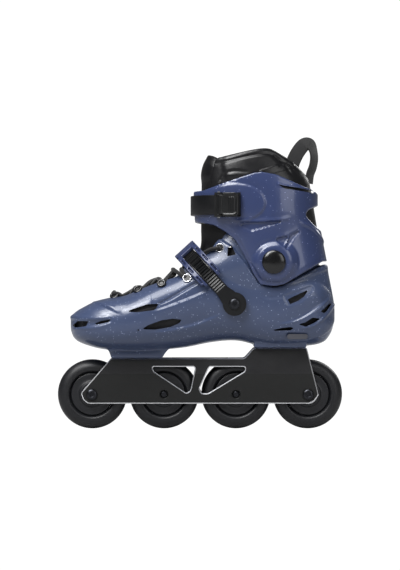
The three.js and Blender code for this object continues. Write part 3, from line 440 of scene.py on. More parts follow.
def plain(name, base, rough, metal=0.0, coat=0.0, ior=1.5, coat_rough=0.08):
    """A material with a Principled shader, its tree and that shader."""
    material = bpy.data.materials.new(name)
    material.use_nodes = True
    tree = material.node_tree
    shader = tree.nodes["Principled BSDF"]
    shader.inputs["Base Color"].default_value = colour(base)
    shader.inputs["Roughness"].default_value = rough
    shader.inputs["Metallic"].default_value = metal
    shader.inputs["IOR"].default_value = ior
    shader.inputs["Coat Weight"].default_value = coat
    shader.inputs["Coat Roughness"].default_value = coat_rough
    return material, tree, shader


def grain(tree, shader, size_mm, height_mm, rough_spread=0.0, detail=4.0):
    """Fine bumps of a size in millimetres, and a little change of gloss with them."""
    place = add(tree, "ShaderNodeTexCoord").outputs["Object"]
    noise = add(tree, "ShaderNodeTexNoise", {"Vector": place, "Scale": 1 / (size_mm * MM), "Detail": detail})
    bump = add(tree, "ShaderNodeBump", {"Height": noise.outputs["Fac"], "Strength": 1.0,
                                        "Distance": height_mm * MM})
    tree.links.new(bump.outputs["Normal"], shader.inputs["Normal"])
    if rough_spread:
        base = shader.inputs["Roughness"].default_value
        wide = add(tree, "ShaderNodeTexNoise", {"Vector": place, "Scale": 1 / (14 * MM), "Detail": 3.0})
        gloss = add(tree, "ShaderNodeMapRange", {"Value": wide.outputs["Fac"], "From Min": 0.3,
                                                 "From Max": 0.7, "To Min": base - rough_spread,
                                                 "To Max": base + rough_spread})
        tree.links.new(gloss.outputs["Result"], shader.inputs["Roughness"])


def flake_paint(name, base, fleck, share, rough, coat):
    """Moulded plastic with sparse fine bright flecks under its gloss."""
    material, tree, shader = plain(name, base, rough, coat=coat)
    place = add(tree, "ShaderNodeTexCoord").outputs["Object"]
    cells = add(tree, "ShaderNodeTexVoronoi", {"Vector": place, "Scale": 1 / (1.5 * MM)})
    pick = add(tree, "ShaderNodeSeparateColor", {"Color": cells.outputs["Color"]})
    chosen = add(tree, "ShaderNodeMath", {0: pick.outputs[0], 1: 1 - share}, operation="GREATER_THAN")
    dot = add(tree, "ShaderNodeMapRange", {"Value": cells.outputs["Distance"], "From Min": 0.34,
                                           "From Max": 0.14, "To Max": 0.85})
    fleck_share = add(tree, "ShaderNodeMath", {0: chosen.outputs[0], 1: dot.outputs["Result"]},
                      operation="MULTIPLY")
    mixed = add(tree, "ShaderNodeMix", {"Factor": fleck_share.outputs[0]}, data_type="RGBA")
    mixed.inputs[6].default_value = colour(base)
    mixed.inputs[7].default_value = colour(fleck)
    tree.links.new(mixed.outputs[2], shader.inputs["Base Color"])
    wave = add(tree, "ShaderNodeTexNoise", {"Vector": place, "Scale": 1 / (7 * MM), "Detail": 2.0})
    bump = add(tree, "ShaderNodeBump", {"Height": wave.outputs["Fac"], "Strength": 1.0,
                                        "Distance": 0.06 * MM})
    tree.links.new(bump.outputs["Normal"], shader.inputs["Normal"])
    return material


def woven(name, base, light, thread_mm, rough=0.75):
    """Woven or braided yarn, by crossed bands of the thread's width."""
    material, tree, shader = plain(name, base, rough)
    shader.inputs["Sheen Weight"].default_value = 0.3
    place = add(tree, "ShaderNodeTexCoord").outputs["Object"]
    bands = []
    for direction in ("X", "Z"):
        band = add(tree, "ShaderNodeTexWave", {"Vector": place, "Scale": 0.314 / (thread_mm * MM),
                                               "Distortion": 0.6, "Detail": 1.0},
                   bands_direction=direction)
        bands.append(band.outputs["Fac"])
    weave = add(tree, "ShaderNodeMath", {0: bands[0], 1: bands[1]}, operation="MULTIPLY")
    mixed = add(tree, "ShaderNodeMix", {"Factor": weave.outputs[0]}, data_type="RGBA")
    mixed.inputs[6].default_value = colour(base)
    mixed.inputs[7].default_value = colour(light)
    tree.links.new(mixed.outputs[2], shader.inputs["Base Color"])
    bump = add(tree, "ShaderNodeBump", {"Height": weave.outputs[0], "Strength": 0.8,
                                        "Distance": thread_mm * 0.2 * MM})
    tree.links.new(bump.outputs["Normal"], shader.inputs["Normal"])
    return material


def textured(name, base, rough, size_mm, height_mm, spread=0.04, **more):
    """A plain material with fine bumps."""
    material, tree, shader = plain(name, base, rough, **more)
    grain(tree, shader, size_mm, height_mm, spread)
    return material


SHELL_BLUE = flake_paint("blue_shell_polyurethane", "3d4863", "a9b4d0", 0.10, 0.34, 0.3)
CUFF_BLUE = flake_paint("blue_cuff_polyurethane", "323d60", "a2acd2", 0.05, 0.30, 0.4)
SHIELD_BLUE = flake_paint("blue_shield_polyurethane", "2f3859", "9aa4c8", 0.05, 0.34, 0.3)
GREY_INSERT = textured("grey_rubber_insert", "4a4b52", 0.6, 0.6, 0.05)
FRAME_BLACK = textured("black_powder_coated_aluminium", "060707", 0.62, 0.35, 0.012)
# A lighter copy of the frame's black for the flat plate faces above the crease: painted light, showing the
# leaned-in upper band brighter than the rest.
FRAME_PAINTED_LIGHT = textured("black_aluminium_painted_light_band", "1d1d1f", 0.42, 0.4, 0.025)
BARE_EDGE = textured("polished_aluminium_edge", "e6e7ea", 0.34, 1.2, 0.01, 0.03, metal=0.85)
STEEL = textured("bright_steel", "c3c4c8", 0.24, 1.0, 0.01, 0.03, metal=1.0)
BLACK_STEEL = textured("blackened_steel", "3a3b3f", 0.34, 0.8, 0.01, 0.04, metal=1.0)
TYRE_RUBBER = textured("charcoal_urethane", "121317", 0.46, 0.5, 0.012, 0.05)
HUB_NYLON = textured("black_hub_nylon", "18191d", 0.42, 0.9, 0.02)
BLACK_PLASTIC = textured("black_moulded_plastic", "0c0d0f", 0.36, 0.8, 0.015)
GLOSS_BLACK = textured("gloss_black_plastic", "08080a", 0.24, 3.0, 0.01, 0.03, coat=0.25)
STRAP_BLACK = textured("black_strap_plastic", "0d0e11", 0.33, 0.7, 0.02)
LINER_SKIN = textured("black_liner_synthetic_leather", "0f0f12", 0.33, 1.3, 0.09, 0.05)
LINER_FABRIC = woven("black_liner_fabric", "111114", "232328", 0.9)
WEBBING = woven("black_webbing", "0a0a0c", "19191c", 1.1)
LACE_BRAID = woven("black_lace_braid", "0a0a0c", "1d1d21", 0.8)
FOOTBED_FOAM = textured("dark_footbed_foam", "2a2a2e", 0.9, 0.9, 0.1)


# ------------------------------------------------------------------ wheels

def mirrored_ring(half):
    """A (radius, y) half profile from low to high y, with its mirror image, as one closed ring."""
    half = np.array(half, float)
    back = half[::-1][1:] * [1, -1]
    return np.vstack([half, back])


def tyre(number, x):
    """A cast urethane tyre: a bullet section from its seat on the hub to its tread."""
    inside = 24.35
    half = [(inside, 0), (inside, -8.2), (25.2, -9.8), (25.9, -11.0), (26.8, -11.7), (28.0, -12.0),
            (30.2, -11.9), (32.4, -11.3), (34.4, -10.2), (36.2, -8.6), (37.6, -6.6), (38.5, -4.4),
            (38.9, -2.2), (WHEEL_RADIUS, 0)]
    piece = turned(f"polyurethane_tyre_{number}", mirrored_ring(half), x, AXLE_Z, 128, 50)
    finish_piece(piece, f"wheel_{number}", TYRE_RUBBER, [f"tyre_{number}"])


def hub(number, x):
    """The hub's dished web with a raised rim and a raised ring round the bearing."""
    half = [(9.4, 0), (9.4, -4.6), (11.15, -4.6), (11.15, -11.6), (11.8, -11.8), (13.2, -11.8), (13.9, -11.4),
            (14.4, -10.2), (15.4, -9.6), (17.5, -9.3), (20.5, -9.2), (22.3, -9.4), (23.1, -9.2), (23.9, -8.4),
            (24.3, -7.4), (24.3, 0)]
    piece = turned(f"wheel_hub_{number}", mirrored_ring(half), x, AXLE_Z, 96, 40)
    finish_piece(piece, f"wheel_{number}", HUB_NYLON, [f"hub_{number}"])


def bearing(number, x, side, node):
    """A sealed ball bearing: outer race, sunk shield and inner race."""
    profile = [(4.15, 5.1), (11, 5.1), (11, 11.8), (10.8, 12.0), (9.7, 12.0), (9.5, 11.7), (9.4, 11.4),
               (6.5, 11.4), (6.4, 11.7), (6.2, 12.0), (4.4, 12.0), (4.15, 11.8)]
    piece = turned(node.replace("bearing", "sealed_bearing"), [(r, y * side) for r, y in profile], x, AXLE_Z,
                   64, 35)
    finish_piece(piece, f"wheel_{number}", STEEL, [node])


def axle(number, x):
    """The axle: a domed head with a hex socket on one side, a threaded end on the other."""
    head = -1 if number in (1, 4) else 1
    seat = PLATE_OUTER + 0.35
    top = seat + 2.7
    dome = [(6.2, seat), (6.2, seat + 0.7), (6.0, seat + 1.2), (5.4, seat + 1.8), (4.4, seat + 2.35),
            (3.2, top), (2.9, top), (2.6, top - 0.2), (2.5, top - 1.8)]
    end = -(PLATE_OUTER - 0.2)
    shaft = [(0, end), (2.6, end), (3.7, end + 0.8), (3.95, end + 1.2), (3.95, seat)]
    shaft += dome + [(0, top - 1.8)]
    shaft = [(r, y * head) for r, y in shaft]
    piece = turned(f"wheel_axle_{number}", shaft, x, AXLE_Z, 48, 30)
    socket = prism("socket", hexagon(2.6, x, AXLE_Z), *sorted(((top - 1.7) * head, (top + 1) * head)))
    combine(piece, [socket], "DIFFERENCE")
    shade(piece, 30)
    finish_piece(piece, "chassis", BLACK_STEEL, [f"axle_{number}"])


def hexagon(radius, x, z):
    """The six corners of a hex socket with its corners at this radius."""
    angle = np.arange(6) * math.pi / 3 + math.pi / 6
    return np.stack([x + radius * np.cos(angle), z + radius * np.sin(angle)], axis=1)


def disc(radius, x, z, sides=64):
    """A circle as an outline."""
    angle = np.linspace(0, 2 * math.pi, sides, endpoint=False)
    return np.stack([x + radius * np.cos(angle), z + radius * np.sin(angle)], axis=1)


for index, wheel_x in enumerate(WHEELS, start=1):
    tyre(index, wheel_x)
    hub(index, wheel_x)
    bearing(index, wheel_x, -1, f"bearing_lever_side_{index}")
    bearing(index, wheel_x, 1, f"bearing_far_side_{index}")
    axle(index, wheel_x)


# ------------------------------------------------------------------ frame

FRAME_LOW = AXLE_Z - 10.3
CREASE = SOLE - 17.5


def frame_outline():
    """The frame's side: low over the front wheels, stepped up for the heel."""
    first, last = WHEELS[0], WHEELS[-1]
    heel = SOLE + HEEL_LIFT
    return rounded([
        (first - 4.5, FRAME_LOW, 4), (first - 9.5, AXLE_Z - 6.2, 6), (first - 12.4, AXLE_Z + 1.5, 4),
        (first + 21.5, SOLE, 1.5), (49.9, SOLE, 5), (60.3, heel, 2), (last - 1.3, heel, 2),
        (last + 11.9, AXLE_Z - 0.8, 4), (last + 6.5, AXLE_Z - 7.8, 6), (last + 0.5, FRAME_LOW, 6),
    ], 4, 8)


def frame_windows():
    """Two windows with a strut between them."""
    low, high = AXLE_Z + 1.5, SOLE - 9.7
    front = [(-54, high, 2.6), (-51.5, high - 5.2, 2.6), (-15.5, low + 0.2, 2.6), (-11, low + 2.5, 4),
             (-5.5, high - 2, 2.5), (-7, high, 1.5)]
    rear = [(11, high, 1.5), (9.5, high - 2, 2.5), (-0.5, low + 5, 4), (1.5, low - 0.5, 4), (9.5, low, 6),
            (50.6, high - 4.6, 2.6), (50.6, high, 2.6)]
    return [rounded(front, 2, 6), rounded(rear, 2, 6)]


def cylinder(name, radius, x, z, low, high, sides=64):
    """A round rod across the skate."""
    return prism(name, disc(radius, x, z, sides), low, high, "y")


def upright(name, radius, x, y, low, high, sides=48):
    """A round rod that stands up."""
    return prism(name, disc(radius, x, y, sides), low, high, "z")


def plate(name, outlines, low, thick, edge):
    """A flat plate between two levels of y with holes and a chamfer all round every outline."""
    curve = bpy.data.curves.new(name, "CURVE")
    curve.dimensions = "2D"
    curve.fill_mode = "BOTH"
    curve.extrude = (thick / 2 - edge) * MM
    curve.bevel_depth = edge * MM
    curve.bevel_resolution = 0
    curve.offset = -edge * MM
    for outline in outlines:
        spline = curve.splines.new("POLY")
        spline.points.add(len(outline) - 1)
        spline.use_cyclic_u = True
        flat = np.zeros((len(outline), 4))
        flat[:, :2] = np.asarray(outline) * MM
        flat[:, 3] = 1
        spline.points.foreach_set("co", flat.ravel())
    holder = bpy.data.objects.new(name, curve)
    bpy.context.scene.collection.objects.link(holder)
    bpy.context.view_layer.update()
    graph = bpy.context.evaluated_depsgraph_get()
    mesh = bpy.data.meshes.new_from_object(holder.evaluated_get(graph), depsgraph=graph)
    bpy.data.objects.remove(holder)
    shape = bmesh.new()
    shape.from_mesh(mesh)
    bmesh.ops.remove_doubles(shape, verts=shape.verts, dist=0.01 * MM)
    for vertex in shape.verts:
        x, z, y = vertex.co
        vertex.co = (x, y + (low + thick / 2) * MM, z)
    whole = shape.verts[:] + shape.edges[:] + shape.faces[:]
    bmesh.ops.bisect_plane(shape, geom=whole, dist=1e-7, plane_co=(0, 0, CREASE * MM), plane_no=(0, 0, 1))
    shape.to_mesh(mesh)
    shape.free()
    piece = bpy.data.objects.new(name, mesh)
    bpy.context.scene.collection.objects.link(piece)
    face_out(piece)
    return piece


def lean_in(piece):
    """Above the crease the plates lean towards the middle, 2 mm by the deck's height."""
    co = coordinates(piece) / MM
    rise = np.maximum(co[:, 2] - CREASE, 0) / (SOLE - CREASE)
    co[:, 1] -= np.sign(co[:, 1]) * 2 * rise
    set_coordinates(piece, co * MM)


def frame_piece():
    """Two cut plates with bright edges, the decks between them and the axle bosses. The flat plate faces above
    the crease take a lighter black, which is painted light on the leaned-in upper band.
    """
    outlines = [frame_outline()] + frame_windows() + [disc(4.2, x, AXLE_Z, 40) for x in WHEELS]
    plates = []
    for low in (PLATE_INNER, -PLATE_OUTER):
        side = plate("wheel_frame", outlines, low, PLATE_OUTER - PLATE_INNER, 1.1)
        lean_in(side)
        plates.append(side)
    half = PLATE_INNER - 1.5
    decks = []
    for top, low_x, high_x in ((SOLE, WHEELS[0] + 22, 52), (SOLE + HEEL_LIFT, 61, WHEELS[-1] - 2)):
        under, over = top - 5, top - 0.15
        deck = prism("deck", [(low_x, under), (low_x, over), (high_x, over), (high_x, under)], -half, half)
        cuts = [cylinder("slot", WHEEL_RADIUS + 2.5, x, AXLE_Z, -half - 1, half + 1, 96) for x in WHEELS]
        cuts += [upright("bolt_hole", 4.25, x, 0, SOLE - 12, SOLE + 20) for x in FRAME_BOLTS]
        decks.append(combine(deck, cuts, "DIFFERENCE"))
    bosses = []
    for x in WHEELS:
        for side in (-1, 1):
            near, far = sorted((12.35 * side, (PLATE_INNER + 0.05) * side))
            ring = [(4.2, near), (6.5, near), (6.5, far), (4.2, far)]
            bosses.append(turned("boss", ring, x, AXLE_Z, 40, 30))
    piece = join("wheel_frame", plates + decks + bosses)
    mesh = piece.data
    for material in (FRAME_BLACK, FRAME_PAINTED_LIGHT, BARE_EDGE):
        mesh.materials.append(material)
    centre = np.empty(len(mesh.polygons) * 3, np.float32)
    mesh.polygons.foreach_get("center", centre)
    centre = centre.reshape(-1, 3)
    normal = np.empty(len(mesh.polygons) * 3, np.float32)
    mesh.polygons.foreach_get("normal", normal)
    flat = np.abs(normal.reshape(-1, 3)[:, 1])
    on_plate = np.abs(centre[:, 1]) > (PLATE_INNER - 2.4) * MM
    # Slot 1 is the lighter black, painted light on the flat faces above the crease; slot 2 is the polished
    # edges.
    slot = np.where(on_plate & (flat > 0.9) & (centre[:, 2] > CREASE * MM), 1, 0)
    to_axle = [np.hypot(centre[:, 0] - x * MM, centre[:, 2] - AXLE_Z * MM) for x in WHEELS]
    slot[on_plate & (flat < 0.9) & (np.min(to_axle, axis=0) > 7 * MM)] = 2
    mesh.polygons.foreach_set("material_index", slot.astype(np.int32))
    shade(piece, 25)
    return piece


wheel_frame = frame_piece()
finish_piece(wheel_frame, "chassis", None, ["frame"])


# ------------------------------------------------------------------ boot shell, drawn in boot heights

FOOT_TOP = smooth_through([
    (-145.7, 46), (-143, 49.5), (-138, 53.5), (-130, 58), (-123, 61.6), (-114, 64.6), (-100, 68), (-84, 71.3),
    (-57.4, 83.3), (-32.3, 93.3), (-19.7, 99.4), (7, 113), (28, 120), (60, 115), (100, 106), (130, 95),
    (146, 78), (151.8, 58)])
FOOT_LOW = smooth_through([
    (-145.7, 31), (-143, 24), (-137, 18.4), (-125.4, 13.8), (-111.6, 10.3), (-100, 9), (-60, 8.5),
    (-19.3, 11.5), (10.7, 17.3), (31.4, 19.6), (45.3, 19), (60, 15.5), (80, 12.4), (121.4, 13.8),
    (139.8, 18.4), (147.9, 28.8), (151.8, 42)])
FOOT_HALF = smooth_through([
    (-145.7, 6), (-143, 17), (-138, 27), (-130, 36), (-118, 43.5), (-100, 48.5), (-77, 51.5), (-51, 52),
    (-25, 49.5), (0, 46), (28, 43), (60, 41), (90, 41), (118, 39), (135, 33), (146, 21), (150.5, 12),
    (151.8, 6)])
FLOOR_DEPTH = smooth_through([(-146, 5.6), (-20, 5.6), (60, 11), (152, 11)])
ANKLE_FRONT = smooth_through([
    (45, -40), (70, -45), (88, -44), (98, -42), (116, -10), (130, 2), (142, 13), (148, 16)])
ANKLE_BACK = smooth_through([(45, 151.8), (61, 151.4), (75, 149.1), (100, 144.5), (148, 140)])
ANKLE_HALF = smooth_through([(45, 39), (70, 40), (90, 42.4), (108, 43.8), (125, 43.8), (148, 43)])
SHELL_OUTLINE = [
    (-165, -10, 0), (-165, 92, 0), (-51.6, 92, 12), (-19.3, 100, 25), (7.2, 117, 20), (28, 143, 5),
    (37, 143, 6), (72, 126, 20), (128, 123, 4), (170, 124, 0), (170, -10, 0)]
THROAT = [(-92, 0), (-90, 9), (-84, 15), (-66, 20), (-40, 25), (-15, 28), (62, 28)]
CUFF_FRONT = smooth_through([(75, 24), (95, 16), (115, 8), (140, -4), (160, -7), (190, -8), (212, -6)])
CUFF_BACK = smooth_through([
    (75, 152), (85, 149), (109.5, 143.3), (139.5, 137.5), (165, 133.4), (190, 133), (212, 132)])
CUFF_HALF = smooth_through([(75, 45.6), (107, 46.5), (140, 46.5), (165, 48), (190, 47), (212, 44)])
CUFF_OUTLINE = [
    (-12, 152.2), (-3.2, 152.2), (15.3, 148.7), (29.1, 140.7), (40.7, 130.3), (49.9, 114.1), (60.3, 93.4),
    (67.2, 83), (82.2, 80.7), (93.7, 83), (116.8, 96.8), (137.5, 108.4), (150, 109.5), (150, 139),
    (136.4, 143), (126, 151), (117.2, 160.3), (121.4, 166), (131.8, 170.7), (140, 176), (140, 183.5),
    (131.8, 185.6), (84.5, 205.3), (68.3, 208.2), (59.1, 206.9), (19.9, 193.7), (3.8, 188), (-12, 186.8)]


def angles(sides):
    return (np.arange(sides) + 0.5) / sides * 2 * math.pi


def foot_loft(name, inset, floor_inset=None, sides=96, count=110):
    """Rounded ovals across the foot, one at each place from toe to heel, closer together at the ends."""
    middle, reach = 3.0, 148.75
    spread = np.sin(np.linspace(-math.pi / 2, math.pi / 2, count))
    station = middle + spread * reach
    floor_inset = inset if floor_inset is None else floor_inset(station)
    x = middle + (station - middle) * (reach - inset) / reach
    low = FOOT_LOW(station) + floor_inset
    high = np.maximum(FOOT_TOP(station) - inset, low + 2)
    half = np.maximum(FOOT_HALF(station) - inset, 1.5)
    y, z = oval(angles(sides)[None, :], half[:, None], (high - low)[:, None] / 2, 2.6)
    rings = np.stack([np.broadcast_to(x[:, None], y.shape), y, z + (high + low)[:, None] / 2], axis=2)
    return loft(name, rings)


def upright_loft(name, low, high, front, back, half, inset, sides=112, count=60, power=2.2):
    """Rounded ovals lying level, one at each height of a boot shaft."""
    z = np.linspace(low, high, count)
    first, last = front(z) + inset, back(z) - inset
    x, y = oval(angles(sides)[None, :], (last - first)[:, None] / 2, (half(z) - inset)[:, None], power)
    rings = np.stack([x + (first + last)[:, None] / 2, y, np.broadcast_to(z[:, None], x.shape)], axis=2)
    return loft(name, rings)


def level(value):
    """A curve that stays at one value."""
    return lambda z: np.full(np.shape(z), float(value))


def core_loft(inset):
    """The shell's inner wall inside the cuff."""
    return upright_loft("core", 45, 148, ANKLE_FRONT, level(134), level(39.6), inset)


def throat_prism(narrower, low):
    """The open throat over the instep, narrower or as drawn."""
    side = [(x + (narrower if y == 0 else 0), max(y - narrower, 0)) for x, y in THROAT]
    upper = curve_points([(x, y) for x, y in side if y > 0.5 or x < -91], 6)
    outline = np.vstack([upper, (upper[1:] * [1, -1])[::-1]])
    return prism("throat", outline, low, 170, "z")


def about_pivot(points, degrees, grow):
    """Turns a side outline about the cuff's pivot and grows it."""
    c, s = math.cos(math.radians(degrees)) * grow, math.sin(math.radians(degrees)) * grow
    u, v = points[:, 0] - PIVOT_X, points[:, 1] - PIVOT_Z
    return np.stack([PIVOT_X + u * c - v * s, PIVOT_Z + u * s + v * c], axis=1)


def outwards(piece, spine=(-90, 100)):
    """How much each vertex faces away from the boot's middle line, from -1 to 1."""
    co = coordinates(piece) / MM
    away = co - np.stack([np.clip(co[:, 0], *spine), 0 * co[:, 0], co[:, 2]], axis=1)
    away /= np.maximum(np.linalg.norm(away, axis=1), 1e-6)[:, None]
    return (away * vertex_normals(piece)).sum(axis=1)


def emboss(piece, marks, spine=(-90, 100)):
    """Pushes the outer skin along its normals: ridges, grooves, terraces and sunk or raised patches,
    each drawn on the side view and fading out at its ends."""
    co = coordinates(piece) / MM
    normal = vertex_normals(piece)
    facing = smoothstep(0.1, 0.5, outwards(piece, spine))
    x, z = co[:, 0], co[:, 2]
    push = np.zeros(len(co))
    for kind, path, height, width, *more in marks:
        if kind == "line":
            d, share, _ = path_distance(x, z, curve_points(path))
            ends = smoothstep(0, 0.14, share) * smoothstep(0, 0.14, 1 - share)
            push += height * np.exp(-(d / width) ** 2) * ends
        elif kind == "terrace":
            reach = more[0]
            d, share, side = path_distance(x, z, curve_points(path))
            ends = smoothstep(0, 0.45, share) * smoothstep(0, 0.45, 1 - share)
            d = d * side
            push += height * smoothstep(-width, width, d) * np.exp(-(np.maximum(d, 0) / reach) ** 2) * ends
        else:
            d = outline_depth(x, z, rounded(path, more[0] if more else 2))
            push += height * smoothstep(-width / 2, width / 2, d)
    co += normal * (push * facing)[:, None]
    set_coordinates(piece, co * MM)


SHELL_VENTS = [
    [(-81.3, 52.8), (-74.7, 55.4), (-58.5, 60.9), (-45.9, 61.4), (-48.5, 56.4), (-51.5, 54.3), (-70, 52)],
    [(-64.5, 33.2), (-57.5, 37.7), (-42.4, 43.2), (-30.3, 44.8), (-20.2, 43.8), (-23, 40), (-33, 35.6),
     (-50, 32.8)],
    [(30.3, 114.1), (40, 116), (35, 127), (31, 124)],
    [(97.5, 66), (102, 68.5), (120.8, 77), (116.1, 69.5), (109.1, 64.6), (100.5, 61)],
    [(109, 38.4), (117.1, 40.6), (125.2, 45.8), (134.6, 44.8), (126.2, 39.4), (118.1, 35.8)],
    [(134.4, 52.6), (139.3, 56.4), (145.6, 62.2), (147.4, 60.4), (141.5, 53.2), (138.8, 50.8)],
    [(81, 32.2), (92, 34.4), (101, 35.4), (104.5, 34), (101, 31.8), (84, 31.2)],
    [(-143, 37), (-136.5, 42), (-124.3, 42), (-126.6, 36.4), (-139, 34.6)],
    [(-117, 39.4), (-110, 42.2), (-97.4, 44.4), (-101.9, 41), (-115, 38.2)],
    [(-69.6, 31.6), (-68.6, 33.3), (-67.2, 32.8), (-67.8, 31.3)],
]


HEEL_SWEEP = [(84, 38), (101, 40.6), (116.1, 46.3), (131.3, 56.3), (140, 62.6), (149.4, 70.5)]


def shell_piece():
    """The moulded boot shell: foot and ankle joined, hollowed, opened at the throat and vented."""
    piece = foot_loft("boot_shell_moulding", 0)
    combine(piece, [upright_loft("ankle", 45, 148, ANKLE_FRONT, ANKLE_BACK, ANKLE_HALF, 0)], "UNION")
    outline = np.array(CUFF_OUTLINE)
    keep = core_loft(0)
    combine(keep, [prism("low", [(-200, -10), (200, -10), (200, 62), (-200, 62)], -90, 90)], "UNION")
    for turn in (-3, 0, 3, 6, 9):
        sweep = prism("sweep", about_pivot(rounded(outline, 5, 3), turn, 1.03), -90, 90)
        kept = keep.copy()
        kept.data = keep.data.copy()
        bpy.context.scene.collection.objects.link(kept)
        combine(sweep, [kept], "DIFFERENCE")
        combine(piece, [sweep], "DIFFERENCE")
    bpy.data.objects.remove(keep)
    front = rounded([(-103.5, 11, 2), (-100.5, 4, 6), (-99.6, 0.3, 0.5), (-42.6, 0.3, 0.5), (-39, 6, 3),
                     (-34, 12, 3), (-36, 16, 1), (-103.5, 16, 1)], 2, 5)
    heel = [(60.3, 11.8), (119.1, 11.8), (119.1, 18), (60.3, 18)]
    combine(piece, [prism("sole", front, -22, 22), prism("sole", heel, -22, 22)], "UNION")
    seat = STRAP_SEAT - 0.3
    for side in (-1, 1):
        combine(piece, [cylinder("boss", 9.5, STRAP_X, STRAP_Z, *sorted((30 * side, seat * side)))], "UNION")
    inner = foot_loft("inner", SHELL_WALL, FLOOR_DEPTH)
    combine(inner, [core_loft(SHELL_WALL)], "UNION")
    combine(piece, [inner], "DIFFERENCE")
    combine(piece, [prism("outline", rounded(SHELL_OUTLINE, 5), -90, 90)], "INTERSECT")
    cuts = [throat_prism(0, 50)]
    for x, low in zip(FRAME_BOLTS, (8.2, HEEL_LIFT + 5.2)):
        cuts += [upright("seat", 9, x, 0, low, low + 16), upright("hole", 4.3, x, 0, -5, 30)]
    cuts.append(cylinder("pivot_hole", 5.3, PIVOT_X, PIVOT_Z, -60, 60))
    cuts.append(cylinder("strap_hole", 2.8, STRAP_X, STRAP_Z, -60, 60))
    combine(piece, cuts, "DIFFERENCE")
    remesh(piece, 1.4, 3)
    emboss(piece, [
        ("terrace", [(-66, 31.6), (-50, 30.6), (-35, 32.2), (-10, 37.2), (6, 42.6), (18, 47.5), (29, 52)],
         -2.3, 1.0, 16),
        ("terrace", [(-54, 53), (-46.4, 55.0), (-20.2, 64.4), (6, 75.5), (20, 84)], -2.6, 1.0, 20),
        ("line", [(-48, 60.9), (-38, 65.2), (-30.3, 69.5), (-8.1, 83.1), (0, 88)], -2.2, 1.3),
        ("terrace", [(-125, 64), (-117, 61.5), (-104, 57), (-93, 52.5), (-84, 50)], 1.8, 0.9, 24),
        ("line", [(-125, 64), (-117, 62), (-104, 58.5), (-93, 56)], 0.8, 1.3),
        ("line", [(-147, 46.4), (-140, 45.6), (-118, 45.2), (-95, 45.8)], 1.3, 2.2),
        ("line", [(-143, 31.6), (-136, 33.2), (-118, 34.8), (-106, 37.4), (-95, 42.4)], 0.9, 1.6),
        ("line", [(-130, 38.6), (-112, 40.0), (-96, 43.6)], -1.4, 3.2),
        ("terrace", [(62, 74), (68, 69.5), (76, 67), (88.9, 67.6), (98, 70.5), (104, 73)], -0.9, 1.2, 9),
        ("line", [(90, 79.6), (111, 88.7), (131.3, 96.7), (146, 102.4)], 1.0, 1.5),
        ("patch", [(92, 69.5), (100, 73), (124.6, 81.8), (127, 78.4), (121.2, 70.8), (111.1, 62.6), (98, 59)],
         -1.0, 1.6),
        ("terrace", HEEL_SWEEP, -2.4, 1.0, 15),
        ("line", HEEL_SWEEP, 0.7, 1.3),
        ("line", [(112, 34.0), (120, 34.8), (129.2, 38.6), (141.3, 48.6), (149, 58), (153, 62)], 1.0, 1.2),
        ("terrace", [(124, 20), (134.3, 24.6), (144.4, 31.4), (150, 39), (153, 46)], 1.6, 1.2, 14),
        ("patch", [(95.9, 28.8), (121.2, 28.8), (121.2, 20.4), (95.9, 20.4)], -0.9, 0.9, 4),
        ("line", [(-100, 9.6), (-70, 8.6), (-40, 10.6)], -0.7, 1.4),
    ])
    combine(piece, [prism("vent", rounded(vent, 0.7, 4), -90, 90) for vent in SHELL_VENTS], "DIFFERENCE")
    shade(piece, 48)
    return lift(piece)


shell = shell_piece()
finish_piece(shell, "chassis", SHELL_BLUE, ["boot_shell"])


# ------------------------------------------------------------------ cuff

PAD_MIDDLE = (38.0, 173.3)
PAD_HALF = (34.5, 21.5)
PIVOT_FACE = 50.0


def pad_outline():
    """The raised oval pad under the cuff's buckle."""
    angle = np.linspace(math.pi, -math.pi, 60)
    around = np.stack([np.cos(angle), np.sin(angle)], axis=1)
    return np.array(PAD_MIDDLE) + np.array(PAD_HALF) * around


def cuff_loft(inset):
    """The cuff's outer form, or the same taken in."""
    return upright_loft("cuff_moulding", 70, 216, CUFF_FRONT, CUFF_BACK, CUFF_HALF, inset)


